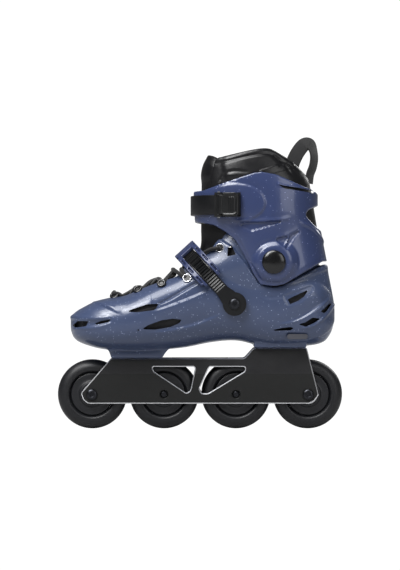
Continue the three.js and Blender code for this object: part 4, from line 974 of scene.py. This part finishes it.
def cuff_piece():
    """The hinged cuff: an open band with pivot bosses, a pad and sunk panels."""
    piece = cuff_loft(0)
    for side in (-1, 1):
        swell = [(0, 40), (27, 40), (27, 43.5), (24, 45.6), (21, 48.2), (18, 49.5), (15, PIVOT_FACE),
                 (0, PIVOT_FACE)]
        boss = turned("boss", [(r, y * side) for r, y in swell], PIVOT_X, PIVOT_Z, 64)
        combine(piece, [boss], "UNION")
    combine(piece, [cuff_loft(CUFF_WALL)], "DIFFERENCE")
    combine(piece, [prism("outline", rounded(CUFF_OUTLINE, 4), -90, 90)], "INTERSECT")
    gap = prism("gap", [(-40, -7), (30, -7), (30, 7), (-40, 7)], 60, 230, "z")
    pivots = cylinder("hole", 5.3, PIVOT_X, PIVOT_Z, -80, 80)
    bolt = cylinder("hole", 2.8, 52, CUFF_STRAP_Z, 20, 80)
    combine(piece, [gap, pivots, bolt], "DIFFERENCE")
    remesh(piece, 1.3, 3)
    border = [(-10, 157), (6, 156), (22, 151), (36, 141.5), (47, 127), (54, 112), (63, 95.5), (68, 88.5),
              (78, 85.6), (93, 87.6), (116, 101.4), (138, 113.6), (152, 114.4)]
    ring_line = [(PIVOT_X + 21.5 * math.cos(a), PIVOT_Z + 21.5 * math.sin(a))
                 for a in np.radians(np.arange(60, 300, 12))]
    emboss(piece, [
        ("terrace", [tuple(p) for p in pad_outline()[::5]], -1.5, 0.9, 8),
        ("terrace", border[::-1], -1.1, 1.0, 9),
        ("patch", [(38, 151.4), (66, 151.8), (98, 154), (80, 148.4), (57, 142)], -2.3, 1.2, 2),
        ("line", [(36, 153.6), (60, 153.4), (84, 154.6), (102, 156.8)], 0.9, 1.6),
        ("patch", [(83.5, 133.6), (99, 137.4), (93.6, 124.6)], -2.0, 1.4, 1.5),
        ("patch", [(100.5, 138.2), (115.2, 145.2), (105, 134.6), (96, 121.4), (95, 124.6)], -1.6, 1.6, 1.2),
        ("line", [(110, 153), (122, 147.6), (130, 141.6), (137, 134), (141, 128)], 1.1, 1.7),
        ("line", [(84, 196), (94, 192.4), (112, 190.6), (134, 187)], 0.8, 1.4),
        ("line", ring_line, -0.7, 3.0),
    ], (20, 110))
    slot = rounded([(85.3, 194.6), (93, 192.6), (110, 190.4), (133.6, 186.4), (127, 184.8), (110, 187.4),
                    (94, 189.4)], 0.8, 4)
    slots = [prism("slot", slot, *sorted((side * 15, side * 90))) for side in (-1, 1)]
    combine(piece, slots, "DIFFERENCE")
    shade(piece, 48)
    return lift(piece)


finish_piece(cuff_piece(), "cuff_body", CUFF_BLUE, ["cuff"])


def cuff_cap(side, node):
    """A shallow gloss dome with a fine moulding dimple in its middle."""
    base = PIVOT_FACE + 0.3
    angle = np.linspace(0, math.pi / 2, 16)
    dome = [(CAP_RADIUS * math.cos(a), base + 1.0 + 3.6 * math.sin(a)) for a in angle[:-1]]
    profile = [(0, base + 1.6), (9.4, base + 1.6), (9.4, base), (CAP_RADIUS - 0.4, base),
               (CAP_RADIUS, base + 0.4)]
    profile += dome + [(1.0, base + 4.58), (0.7, base + 4.2), (0, base + 4.1)]
    piece = turned(node + "_gloss", [(r, y * side) for r, y in profile], PIVOT_X, PIVOT_Z, 96, 50)
    finish_piece(lift(piece), "cuff_body", GLOSS_BLACK, [node])


cuff_cap(-1, "cuff_cap_lever_side")
cuff_cap(1, "cuff_cap_far_side")


# ------------------------------------------------------------------ cuff strap and buckle

def cuff_point(angle, offset):
    """A point on the cuff's oval at the strap's height, lifted off it."""
    front, back = float(CUFF_FRONT(CUFF_STRAP_Z)), float(CUFF_BACK(CUFF_STRAP_Z))
    x, y = oval(np.asarray(angle), (back - front) / 2 + offset, float(CUFF_HALF(CUFF_STRAP_Z)) + offset, 2.2)
    return np.stack([(front + back) / 2 + x, y], axis=-1)


def cuff_angle_at(x):
    front, back = float(CUFF_FRONT(CUFF_STRAP_Z)), float(CUFF_BACK(CUFF_STRAP_Z))
    share = (x - (front + back) / 2) / ((back - front) / 2)
    return 2 * math.pi - math.acos(math.copysign(abs(share) ** 1.1, share))


BUCKLE_X = 31
BUCKLE_TURN = -math.radians(16.5)
BUCKLE_HALF = 14


def strap_section(wide, thick, edge):
    """A flat band's rounded section: (across the width, off the surface)."""
    return rounded([(-wide, 0), (wide, 0), (wide, thick), (-wide, thick)], edge, 3)


def cuff_strap():
    """The strap that closes the cuff, from its bolt round the front to the buckle."""
    start = 2 * math.pi - cuff_angle_at(62)
    end = cuff_angle_at(BUCKLE_X - 15 * math.cos(BUCKLE_TURN) + 3)
    angle = np.linspace(start, end, 150)
    section = strap_section(11, 2.2, 0.8)
    rings = []
    for a in angle:
        ring = []
        for across, off in section:
            x, y = cuff_point(a, 0.7 + off)
            ring.append((x, y, CUFF_STRAP_Z + across))
        rings.append(ring)
    piece = loft("cuff_strap_band", rings, 40)
    finish_piece(lift(piece), "cuff_body", STRAP_BLACK, ["cuff_strap"])


cuff_strap()


def at_buckle(piece):
    """Moves a piece drawn about the buckle's own middle on to the cuff."""
    middle = cuff_point(cuff_angle_at(BUCKLE_X), 0)
    co = coordinates(piece) / MM
    c, s = math.cos(BUCKLE_TURN), math.sin(BUCKLE_TURN)
    x, y = co[:, 0].copy(), co[:, 1].copy()
    co[:, 0] = middle[0] + c * x - s * y
    co[:, 1] = middle[1] + s * x + c * y
    co[:, 2] += CUFF_STRAP_Z + SOLE
    set_coordinates(piece, co * MM)
    return piece


def buckle_lever():
    """The lever from its side, cut to its rounded face and dished a little, with a finger lip."""
    side = rounded([(-11.6, -7.2, 1.5), (-11.6, -4.2, 1), (-10.2, -2.9, 1), (15, -2.9, 1), (15.6, -5, 1.5),
                    (13.6, -8.6, 3), (9, -9.8, 6), (-7, -9.8, 2), (-10.2, -8.2, 1.5)], 1, 5)
    piece = prism("buckle_lever_block", side, -BUCKLE_HALF + 0.6, BUCKLE_HALF - 0.6, "z")
    face = rounded([(-3.8, -13.4, 0.8), (15.6, -13.4, 6), (15.6, 13.4, 6), (-3.8, 13.4, 0.8),
                    (-3.8, 10.8, 0.5), (-12, 10.8, 1), (-12, -10.8, 1), (-3.8, -10.8, 0.5)], 1, 6)
    combine(piece, [prism("face", face, -20, 5)], "INTERSECT")
    hole = upright("hole", 1.7, -9, -5.6, -20, 20, 24)
    combine(piece, [hole], "DIFFERENCE")
    remesh(piece, 0.5, 3)
    co = coordinates(piece) / MM
    front = smoothstep(-7.6, -9.2, co[:, 1])
    panel_edge = rounded([(-5, -10.4), (12.2, -10.4), (12.2, 10.4), (-5, 10.4)], 4)
    panel = outline_depth(co[:, 0], co[:, 2], panel_edge)
    co[:, 1] += front * 0.8 * smoothstep(-0.4, 0.6, panel)
    for line_x in (9.2, 6.6, 4.0):
        rib = np.exp(-((co[:, 0] - line_x) / 0.7) ** 2) * smoothstep(8.8, 7.6, np.abs(co[:, 2]))
        co[:, 1] -= front * 0.6 * rib
    set_coordinates(piece, co * MM)
    finish_piece(at_buckle(piece), "cuff_lever_body", BLACK_PLASTIC, ["cuff_buckle_lever"])


buckle_lever()


# ------------------------------------------------------------------ instep strap and shield

def on_strap(points):
    """Carries (s, y, c) points, with s up the strap and c across its width, to their place."""
    points = np.asarray(points, float)
    s, y, c = points[..., 0], points[..., 1], points[..., 2]
    cosine, sine = math.cos(STRAP_TILT), math.sin(STRAP_TILT)
    return np.stack([STRAP_X - cosine * s - sine * c, y, STRAP_Z + SOLE + sine * s - cosine * c], axis=-1)


EYE_START = 12.9
ARCH_START = 34
ARCH_RISE = 45


def arch(angle, offset):
    """Half an ellipse over the instep, lifted off it by an offset: (up the strap, across the skate)."""
    a = np.radians(angle)
    return np.stack([ARCH_START + (ARCH_RISE + offset) * np.cos(a), (STRAP_SEAT + offset) * np.sin(a)], axis=-1)


def strap_path():
    """The ladder strap's inner line up the lever side, over the arch and down the far side."""
    up = np.stack([np.arange(-EYE_START, ARCH_START, 0.5), np.full(94, -STRAP_SEAT)], axis=1)
    angle = np.linspace(-90, 90, 300)
    lifted = 4.8 * smoothstep(0, 80, angle)
    over = np.array([arch(a, o) for a, o in zip(angle, lifted)])
    down = np.stack([np.arange(33.5, 7, -0.5), np.full(53, STRAP_SEAT + 4.8)], axis=1)
    return np.vstack([up, over, down])


TOOTH_PITCH = 3.15
EYE_RADIUS = 13.1
LADDER_HALF = 7.3


def ladder_strap():
    """A flat strap with a round eye at its bolt and sawteeth along it: each tooth slopes down over
    four fifths of the pitch and climbs back over the rest."""
    path = strap_path()
    reach = np.concatenate([[0], np.cumsum(np.linalg.norm(np.diff(path, axis=0), axis=1))])
    fine = np.arange(0, reach[-1], 0.3)
    path = np.stack([np.interp(fine, reach, path[:, 0]), np.interp(fine, reach, path[:, 1])], axis=1)
    run = np.gradient(path, axis=0)
    run /= np.linalg.norm(run, axis=1)[:, None]
    outward = np.stack([run[:, 1], -run[:, 0]], axis=1)
    length = np.concatenate([[0], np.cumsum(np.linalg.norm(np.diff(path, axis=0), axis=1))]) - EYE_START
    rings = []
    for at, out, far in zip(path, outward, length):
        if far < 9:
            wide = math.sqrt(max(EYE_RADIUS**2 - far**2, 4))
        else:
            wide = LADDER_HALF + (math.sqrt(EYE_RADIUS**2 - 81) - LADDER_HALF) * float(smoothstep(21, 9, far))
        toothed = float(smoothstep(22, 23, far))
        phase = (far / TOOTH_PITCH) % 1.0
        tooth = min(1 - phase / 0.8, 1.0) if phase < 0.8 else (phase - 0.8) / 0.2
        height = STRAP_THICKNESS - toothed * (1.5 * (1 - tooth) - 0.3)
        inner = min(wide - 1.2, 6.0)
        top = STRAP_THICKNESS
        right = [(wide - 0.3, 0), (wide, 0.3), (wide, top - 0.4), (wide - 0.4, top), (inner + 0.1, top),
                 (inner, height)]
        section = [(-c, off) for c, off in right[1::-1]] + right + [(-c, off) for c, off in right[:1:-1]]
        rings.append([(at[0] + out[0] * off, at[1] + out[1] * off, c) for c, off in section])
    piece = loft("instep_ladder_strap", on_strap(rings), 30)
    hole = cylinder("hole", 2.8, STRAP_X, STRAP_Z + SOLE, -90, 0)
    combine(piece, [hole], "DIFFERENCE")
    shade(piece, 28)
    finish_piece(piece, "instep_body", STRAP_BLACK, ["ladder_strap"])


def shield():
    """A frame over the ladder strap with slotted rails and a bridge at its top."""
    def band(first, last, low, high, wide, middle=0.0):
        angle = np.linspace(first, last, 40)
        outline = np.vstack([arch(angle, low), arch(angle, high)[::-1]])
        count = len(outline)
        rings = [[(s, y, middle + c) for s, y in outline] for c in (-wide / 2, wide / 2)]
        points = on_strap(rings).reshape(-1, 3)
        faces = [tuple(range(count)), tuple(reversed(range(count, 2 * count)))]
        faces += [(k, k + count, (k + 1) % count + count, (k + 1) % count) for k in range(count)]
        return make("band", points, faces)

    piece = band(-88, -8, 1.2, 6.2, 27)
    cuts = [band(-92, 0, -3, 2.6, 15.4), band(-92, -27, -3, 11, 15.4)]
    for side in (-1, 1):
        for first in (-82, -64, -46):
            cuts.append(band(first, first + 11, 3.6, 11, 1.8, side * 10.8))
        cuts.append(band(-26, -20, -3, 9, 8, side * 15.6))
        cuts.append(band(-90, -84, -3, 9, 5, side * 13.4))
    combine(piece, cuts, "DIFFERENCE")
    remesh(piece, 0.6, 3)
    piece.name = "instep_shield_frame"
    finish_piece(piece, "instep_body", SHIELD_BLUE, ["instep_shield"])


def strap_screw(side, node):
    """The round-headed screw that an end of the instep strap turns on, with a hex socket."""
    x, z, seat, radius = STRAP_X, STRAP_Z + SOLE, STRAP_SEAT + STRAP_THICKNESS + 0.3, 6
    arc = [(radius * math.cos(a), seat + 0.8 + 2.0 * math.sin(a)) for a in np.linspace(0, 1.2, 10)]
    profile = [(0, seat - 5.8), (2.5, seat - 5.8), (2.5, seat), (radius, seat)] + arc + [(0, arc[-1][1])]
    piece = turned(node + "_screw", [(r, y * side) for r, y in profile], x, z, 64, 40)
    top = arc[-1][1]
    socket = prism("socket", hexagon(1.9, x, z), *sorted(((top - 1.4) * side, (top + 1) * side)))
    combine(piece, [socket], "DIFFERENCE")
    shade(piece, 40)
    finish_piece(piece, "chassis", BLACK_STEEL, [node])


ladder_strap()
shield()
strap_screw(-1, "strap_bolt_lever_side")
strap_screw(1, "strap_bolt_far_side")


# ------------------------------------------------------------------ liner, tongue and pull loop

SHAFT_FRONT = smooth_through([(120, 9), (140, 0), (160, -3), (190, -4), (212, -2), (240, 4)])
SHAFT_BACK = smooth_through([(120, 137), (140, 133.4), (165, 129.2), (190, 125), (204, 121.4), (240, 98)])
SHAFT_HALF = smooth_through([(120, 33.5), (146, 34.2), (166, 42), (190, 42.6), (212, 40), (240, 33)])
LINER_TOP = [(18.4, 224.6), (30, 226.8), (43.7, 230), (58, 233.2), (70.9, 235.1), (80, 234), (92.1, 227.6),
             (103.2, 220.6), (112, 213), (120, 205), (126, 200)]


def shaft_loft(inset):
    """The upper liner's outer form, or the same taken in."""
    return upright_loft("liner_shaft_padded", 118, 242, SHAFT_FRONT, SHAFT_BACK, SHAFT_HALF, inset)


def liner_shaft():
    """The padded upper liner: a foam wall under a synthetic skin, with a rolled rim and sewn panels."""
    piece = shaft_loft(0)
    combine(piece, [shaft_loft(9)], "DIFFERENCE")
    edge = curve_points(LINER_TOP, 5)
    side = [(-20, 110), (-20, 214), (8, 222)] + [tuple(p) for p in edge] + [(160, 190), (160, 110)]
    combine(piece, [prism("top", side, -90, 90)], "INTERSECT")
    wedge = [(-20, 90), (-20, 160), (24, 155), (38, 153), (72, 130), (160, 132), (160, 90)]
    opening = [(-30, -THROAT_HALF), (40, -THROAT_HALF), (40, THROAT_HALF), (-30, THROAT_HALF)]
    gap = prism("gap", opening, 100, 260, "z")
    combine(piece, [prism("wedge", wedge, -90, 90), gap], "DIFFERENCE")
    remesh(piece, 1.3, 14)
    rolled = [(12, 218)] + [(x, z - 6.5) for x, z in LINER_TOP[:9]]
    emboss(piece, [
        ("line", rolled, -1.3, 1.5),
        ("line", [(82, 229), (88, 222.6), (95.1, 215.4), (103, 205)], -1.0, 1.2),
        ("line", [(20, 196), (28, 206), (40, 209), (56, 207)], -0.7, 1.4),
        ("patch", [(66, 209), (104, 221.4), (106, 214), (69, 202)], 0.8, 1.2, 1),
        ("patch", [(24, 222), (40, 225), (70, 229.6), (80, 227), (92, 214), (60, 204), (30, 200)], 1.1, 7, 6),
    ], (20, 110))
    finish_piece(lift(piece), "cuff_body", LINER_SKIN, ["liner_shaft"])
    return piece


liner = liner_shaft()


TONGUE_LINE = [(-86, 62.5), (-77, 68), (-57, 78), (-32, 89.5), (-19, 96.5), (-7.5, 110), (0, 126), (0.5, 146),
               (0.5, 165.5), (1, 178), (1.5, 195), (0.8, 207), (3.2, 218), (8.4, 228.2)]


def tongue():
    """A padded tongue that runs from the toe up the shin, crowned across and thinner at its edges."""
    line = curve_points(TONGUE_LINE, 9)
    run = np.gradient(line, axis=0)
    run /= np.linalg.norm(run, axis=1)[:, None]
    out = np.stack([-run[:, 1], run[:, 0]], axis=1)
    share = np.linspace(0, 1, len(line))
    lower = np.minimum(1, 0.42 + 2.2 * share) * 25.3
    half = lower - 1.3 * smoothstep(0.45, 0.6, share)
    half *= 1 - 0.2 * smoothstep(0.93, 1.0, share)
    thick = 6 + 2.0 * smoothstep(0.8, 0.95, share)
    angle = angles(56)
    rings = []
    curl = 11 + 16 * smoothstep(0.36, 0.47, share) * (1 - smoothstep(0.62, 0.74, share))
    for at, normal, wide, deep, wrap in zip(line, out, half, thick, curl):
        y, off = oval(angle, wide, deep / 2, 3.2)
        crown = wrap * (y / wide) ** 2 + deep / 2
        out_by = off - crown
        rings.append(np.stack([at[0] + normal[0] * out_by, y, at[1] + normal[1] * out_by], axis=1))
    tip = np.array(rings[-1])
    middle = tip.mean(axis=0)
    ease = [0.92, 0.72, 0.4]
    for k, size in enumerate(ease):
        moved = middle + (tip - middle) * [size, size, size]
        moved[:, 2] += 0.9 * (k + 1)
        moved[:, 0] += 0.2 * (k + 1)
        rings.append(moved)
    piece = loft("liner_tongue", rings)
    finish_piece(lift(piece), "cuff_body", LINER_SKIN, ["tongue_lower", "tongue_upper"])
    piece.parent = None
    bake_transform(piece)
    return piece


tongue()


def pull_loop():
    """A webbing tape sewn to the liner's back. It rises, folds over and comes down behind, turning as
    it goes."""
    path = curve_points([(103, 214), (105.5, 222), (110.5, 232), (117.5, 240.6), (124, 241.6), (127.6, 235),
                         (129, 226), (127.6, 216), (124.4, 207), (123, 197)], 10)
    run = np.gradient(path, axis=0)
    run /= np.linalg.norm(run, axis=1)[:, None]
    share = np.linspace(0, 1, len(path))
    turn = np.radians(72 - 40 * smoothstep(0.25, 0.62, share))
    section = strap_section(8.2, 1.8, 0.5) - [0, 0.9]
    rings = []
    for at, along_run, phi in zip(path, run, turn):
        forward = np.array([along_run[0], 0, along_run[1]])
        flat_normal = np.array([-along_run[1], 0, along_run[0]])
        wide = math.cos(phi) * np.array([0, 1, 0]) + math.sin(phi) * flat_normal
        thin = np.cross(forward, wide)
        rings.append([np.array([at[0], 0, at[1]]) + wide * u + thin * v for u, v in section])
    piece = loft("webbing_pull_loop", rings, 35)
    finish_piece(lift(piece), "cuff_body", WEBBING, ["pull_loop"])


pull_loop()


# ------------------------------------------------------------------ eyelets and lace

def foot_side(x, z):
    """Half the foot shell's width at a place on its side."""
    low, high = float(FOOT_LOW(x)), float(FOOT_TOP(x))
    rise = min(abs(2 * z - low - high) / (high - low), 0.995)
    return float(FOOT_HALF(x)) * (1 - rise**2.6) ** (1 / 2.6)


def ankle_side(x, z):
    """Half the ankle's width at a place on its side."""
    front, back = float(ANKLE_FRONT(z)), float(ANKLE_BACK(z))
    share = min(abs(2 * x - front - back) / (back - front), 0.995)
    return float(ANKLE_HALF(z)) * (1 - share**2.2) ** (1 / 2.2)


def shell_side(x, z):
    """Half the shell's width at a place on its side."""
    return max(foot_side(x, z), ankle_side(x, z))


def shell_normal(x, z):
    """The outward direction of the lever side of the shell."""
    step = 1.0
    dx = (shell_side(x + step, z) - shell_side(x - step, z)) / (2 * step)
    dz = (shell_side(x, z + step) - shell_side(x, z - step)) / (2 * step)
    normal = np.array([-dx, -1.0, -dz])
    return normal / np.linalg.norm(normal)


def ring_at(name, x, z, radius, wire, material, stand=0.8):
    """A pair of round rings lying on the shell, one on each side, each with a black disc in its opening:
    painted shade of the hole.
    """
    centre = np.array([x, -shell_side(x, z), z]) + shell_normal(x, z) * stand
    normal = shell_normal(x, z) + [0, -0.8, 0]
    normal /= np.linalg.norm(normal)
    across = np.cross(normal, [0, 0, 1.0])
    across /= np.linalg.norm(across)
    up = np.cross(across, normal)
    around = np.linspace(0, 2 * math.pi, 40, endpoint=False)
    small = np.linspace(0, 2 * math.pi, 14, endpoint=False)
    rings = []
    for a in around:
        outward = math.cos(a) * across + math.sin(a) * up
        rings.append([centre + outward * (radius + wire * math.cos(b)) + normal * wire * 0.8 * math.sin(b)
                      for b in small])
    rings = np.array(rings)
    for side, word in ((1, "lever_side"), (-1, "far_side")):
        piece = ring_loft(f"{name}_{word}", rings * [1, side, 1])
        finish_piece(lift(piece), "chassis", material, ())
        # A black disc just inside each ring fills its opening: painted shade where the hole would be dark.
        sides = [math.cos(a) * across + math.sin(a) * up for a in around]
        within = radius - 0.4 * wire
        discs = [[centre + out * within + normal * off for out in sides] for off in (-1.6, -0.1)]
        hole = loft(f"{name}_hole_{word}", np.array(discs) * [1, side, 1], 30)
        finish_piece(lift(hole), "chassis", BLACK_PLASTIC, ())


EYELETS = [(-95.5, 68.5), (-68.9, 75.6), (-42.4, 82.4)]
for eyelet_number, (eyelet_x, eyelet_z) in enumerate(EYELETS, start=1):
    ring_at(f"lace_hook_{eyelet_number}", eyelet_x, eyelet_z, 3.7, 1.5, GLOSS_BLACK, 2.4)
ring_at("lace_eyelet_1", -14.2, 89.4, 4.5, 0.5, STEEL, 1.2)
ring_at("lace_eyelet_2", 22.2, 123.4, 4.5, 0.5, STEEL, 0.9)

LACE_RADIUS = 2.35


def throat_edge(x):
    """The height of the shell's top edge beside the throat."""
    low, high = float(FOOT_LOW(x)), float(FOOT_TOP(x))
    side = THROAT_HALF / float(FOOT_HALF(x))
    return (low + high) / 2 + (high - low) / 2 * (1 - side**2.6) ** (1 / 2.6)


def tongue_top(x):
    """The height of the tongue's crown."""
    line = np.array(TONGUE_LINE[:7], float)
    return float(np.interp(x, line[:, 0], line[:, 1]))


LACE_ROWS = [(x, y, throat_edge(x) + LACE_RADIUS + 0.4) for x, y in ((-93, 11), (-68.9, 19.5), (-42.4, 24.5))]
LACE_ROWS.append((-25.5, 29.5, 99))
LACE_TAIL = [(2.4, 25.4, 117.4), (12, 33.5, 122), (22, 37.6, 124)]
LACE_DIP = (-19.4, 19.6, 99.4)
LACE_CROSSINGS = [(x, tongue_top(x) + 2.9, x - 1, tongue_top(x) + 7.2) for x in (-81, -55.5, -29)]
LACE_CROSSINGS.append((-9.5, 113.2, -12, 116.8))


def lace_turn(row, side):
    """Over the throat's edge, down through the row's hook and back."""
    x, y, z = LACE_ROWS[row]
    if row < 3:
        hook_x, hook_z = EYELETS[row]
        hook_z += 3.4
        hook_y = shell_side(hook_x, hook_z) + 1.9
    else:
        hook_x, hook_z = -17.2, 91.0
        hook_y = shell_side(hook_x, hook_z) + 0.4
    reach = 2.4 if row < 3 else 1.0
    return [(x - 4.5, side * (y - 1), z + 0.6), (hook_x - reach, side * hook_y, hook_z + 0.4),
            (hook_x + reach, side * hook_y, hook_z + 0.4), (x + 4.5, side * (y - 1), z + 0.6)]


def lace():
    """One lace from a top eyelet down the rows, across the toe, and up to the other top eyelet."""
    points = [(x, -y, z) for x, y, z in LACE_TAIL][::-1]
    side = 1
    for row in (3, 2, 1, 0):
        low_x, low_z, high_x, high_z = LACE_CROSSINGS[row]
        points.append((high_x, 0, high_z) if row % 2 == 0 else (low_x, 0, low_z))
        if row == 3:
            points.append((LACE_DIP[0], side * LACE_DIP[1], LACE_DIP[2]))
        turn = lace_turn(row, side)[::-1]
        points += turn[:3] if row == 0 else turn
        side = -side
    points += [(LACE_ROWS[0][0] - 4, -side * 7, 74), (LACE_ROWS[0][0] - 4, side * 7, 74)]
    for row in (0, 1, 2, 3):
        turn = lace_turn(row, side)
        points += turn[1:] if row == 0 else turn
        if row == 3:
            points.append((LACE_DIP[0], side * LACE_DIP[1], LACE_DIP[2]))
        low_x, low_z, high_x, high_z = LACE_CROSSINGS[row]
        points.append((high_x, 0, high_z) if row % 2 == 1 else (low_x, 0, low_z))
        side = -side
    points += LACE_TAIL
    piece = tube("shoe_lace", curve_points(points, 12), LACE_RADIUS, 14, 0.85)
    finish_piece(lift(piece), "chassis", LACE_BRAID, ["shoelace"])


lace()


def grey_insert():
    """The small rubber pill let into the heel on each side."""
    for side, word in ((-1, "lever_side"), (1, "far_side")):
        outline = rounded([(97.2, 27.6), (120.2, 27.6), (120.2, 21.8), (97.2, 21.8)], 2.8, 8)
        deep = min(shell_side(x, 24.7) for x in (98, 108, 119))
        pill = prism(f"heel_insert_{word}", outline, *sorted((side * (deep - 2.5), side * (deep + 1.2))))
        co = coordinates(pill) / MM
        top = np.array([shell_side(x, z) for x, z in co[:, [0, 2]]])
        outer = np.abs(co[:, 1]) > deep
        co[outer, 1] = side * (top[outer] - 0.1)
        set_coordinates(pill, co * MM)
        finish_piece(lift(pill), "chassis", GREY_INSERT)


grey_insert()


# ------------------------------------------------------------------ finishes of parts that keep their shape

def dress(node, material, width=0.0):
    """A material, and where it is hard-edged a small bevel, for a part whose shape is already right."""
    part = bpy.data.objects[node]
    part.data.materials.clear()
    part.data.materials.append(material)
    if width:
        modifier = part.modifiers.new("bevel", "BEVEL")
        modifier.width = width * MM
        modifier.segments = 2
        modifier.limit_method = "ANGLE"
        modifier.angle_limit = math.radians(35)


DRESSED = {
    (LINER_FABRIC, "liner", 0): ["liner_foot"],
    (FOOTBED_FOAM, "footbed", 0): ["footbed"],
    (STRAP_BLACK, "strap", 0.4): ["ratchet_strap"],
    (BLACK_PLASTIC, "black_plastic", 0.4): ["ratchet_base", "ratchet_lever", "ratchet_release",
                                            "cuff_buckle_base"],
    (STEEL, "steel", 0): ["cuff_buckle_pin", "ratchet_lever_pin", "ratchet_release_pin",
                          "cuff_bolt_lever_side", "cuff_bolt_far_side", "cuff_nut_lever_side",
                          "cuff_nut_far_side", "frame_washer_front", "frame_washer_rear", "spacer_1",
                          "spacer_2", "spacer_3", "spacer_4"],
    (BLACK_STEEL, "black_steel", 0.3): ["frame_bolt_front", "frame_bolt_rear", "cuff_strap_bolt"],
}
for (dress_material, dress_slot, dress_width), dress_nodes in DRESSED.items():
    for dress_node in dress_nodes:
        dress(dress_node, dress_material, dress_width)


# ------------------------------------------------------------------ floor, light and camera

def floor():
    """A wide pale floor, lit to the camera only so that it stays even."""
    size = 6000
    mesh = bpy.data.meshes.new("pale_floor")
    corners = [(-size, -size, 0), (size, -size, 0), (size, size, 0), (-size, size, 0)]
    mesh.from_pydata([[c * MM for c in corner] for corner in corners], [], [(0, 1, 2, 3)])
    ground = bpy.data.objects.new("pale_floor", mesh)
    bpy.context.scene.collection.objects.link(ground)
    material, tree, shader = plain("white_paper", "b8b8b8", 0.9)
    seen = add(tree, "ShaderNodeLightPath").outputs["Is Camera Ray"]
    glow = add(tree, "ShaderNodeEmission", {"Strength": 1.05})
    mixed = add(tree, "ShaderNodeMixShader", {0: seen, 1: shader.outputs[0], 2: glow.outputs[0]})
    tree.links.new(mixed.outputs[0], tree.nodes["Material Output"].inputs["Surface"])
    mesh.materials.append(material)


def lamp(name, place, aim, size, watts, tint="ffffff"):
    """A soft rectangular studio lamp aimed at a point."""
    data = bpy.data.lights.new(name, "AREA")
    data.shape = "RECTANGLE"
    data.size, data.size_y = size
    data.energy = watts
    data.color = colour(tint)[:3]
    light = bpy.data.objects.new(name, data)
    bpy.context.scene.collection.objects.link(light)
    light.location = place
    direction = mathutils.Vector(aim) - mathutils.Vector(place)
    light.rotation_euler = direction.to_track_quat("-Z", "Y").to_euler()


def sun():
    """A broad soft light from above."""
    data = bpy.data.lights.new("sun", "SUN")
    data.energy = 3.4
    data.angle = math.radians(40)
    light = bpy.data.objects.new("sun", data)
    bpy.context.scene.collection.objects.link(light)
    light.rotation_euler = (math.radians(22), math.radians(-14), 0)


def world():
    """An even pale surround."""
    scene_world = bpy.data.worlds.new("studio")
    bpy.context.scene.world = scene_world
    scene_world.use_nodes = True
    tree = scene_world.node_tree
    tree.nodes["Background"].inputs["Color"].default_value = colour("ffffff")
    seen = add(tree, "ShaderNodeLightPath").outputs["Is Camera Ray"]
    strength = add(tree, "ShaderNodeMapRange", {"Value": seen, "To Min": 0.2, "To Max": 1.05})
    tree.links.new(strength.outputs["Result"], tree.nodes["Background"].inputs["Strength"])


def camera():
    """A long lens level with the middle of the skate."""
    data = bpy.data.cameras.new("camera")
    data.sensor_fit = "VERTICAL"
    data.sensor_height = 36
    data.lens = 36 / 0.6442 * 2.5
    data.clip_end = 30
    eye = bpy.data.objects.new("camera", data)
    bpy.context.scene.collection.objects.link(eye)
    eye.location = (0, -2.5, 0.1619)
    eye.rotation_euler = (math.pi / 2, 0, 0)
    bpy.context.scene.camera = eye


floor()
world()
lamp("key", (-0.9, -1.3, 1.5), (0, 0, 0.15), (0.9, 0.9), 31)
lamp("fill", (1.3, -1.5, 0.9), (0, 0, 0.15), (0.9, 1.2), 10)
lamp("rim", (0.9, 1.3, 1.0), (0, 0, 0.2), (0.7, 0.9), 9)
sun()
camera()

bpy.context.scene.view_settings.view_transform = "Standard"
bpy.context.scene.view_settings.gamma = 0.88
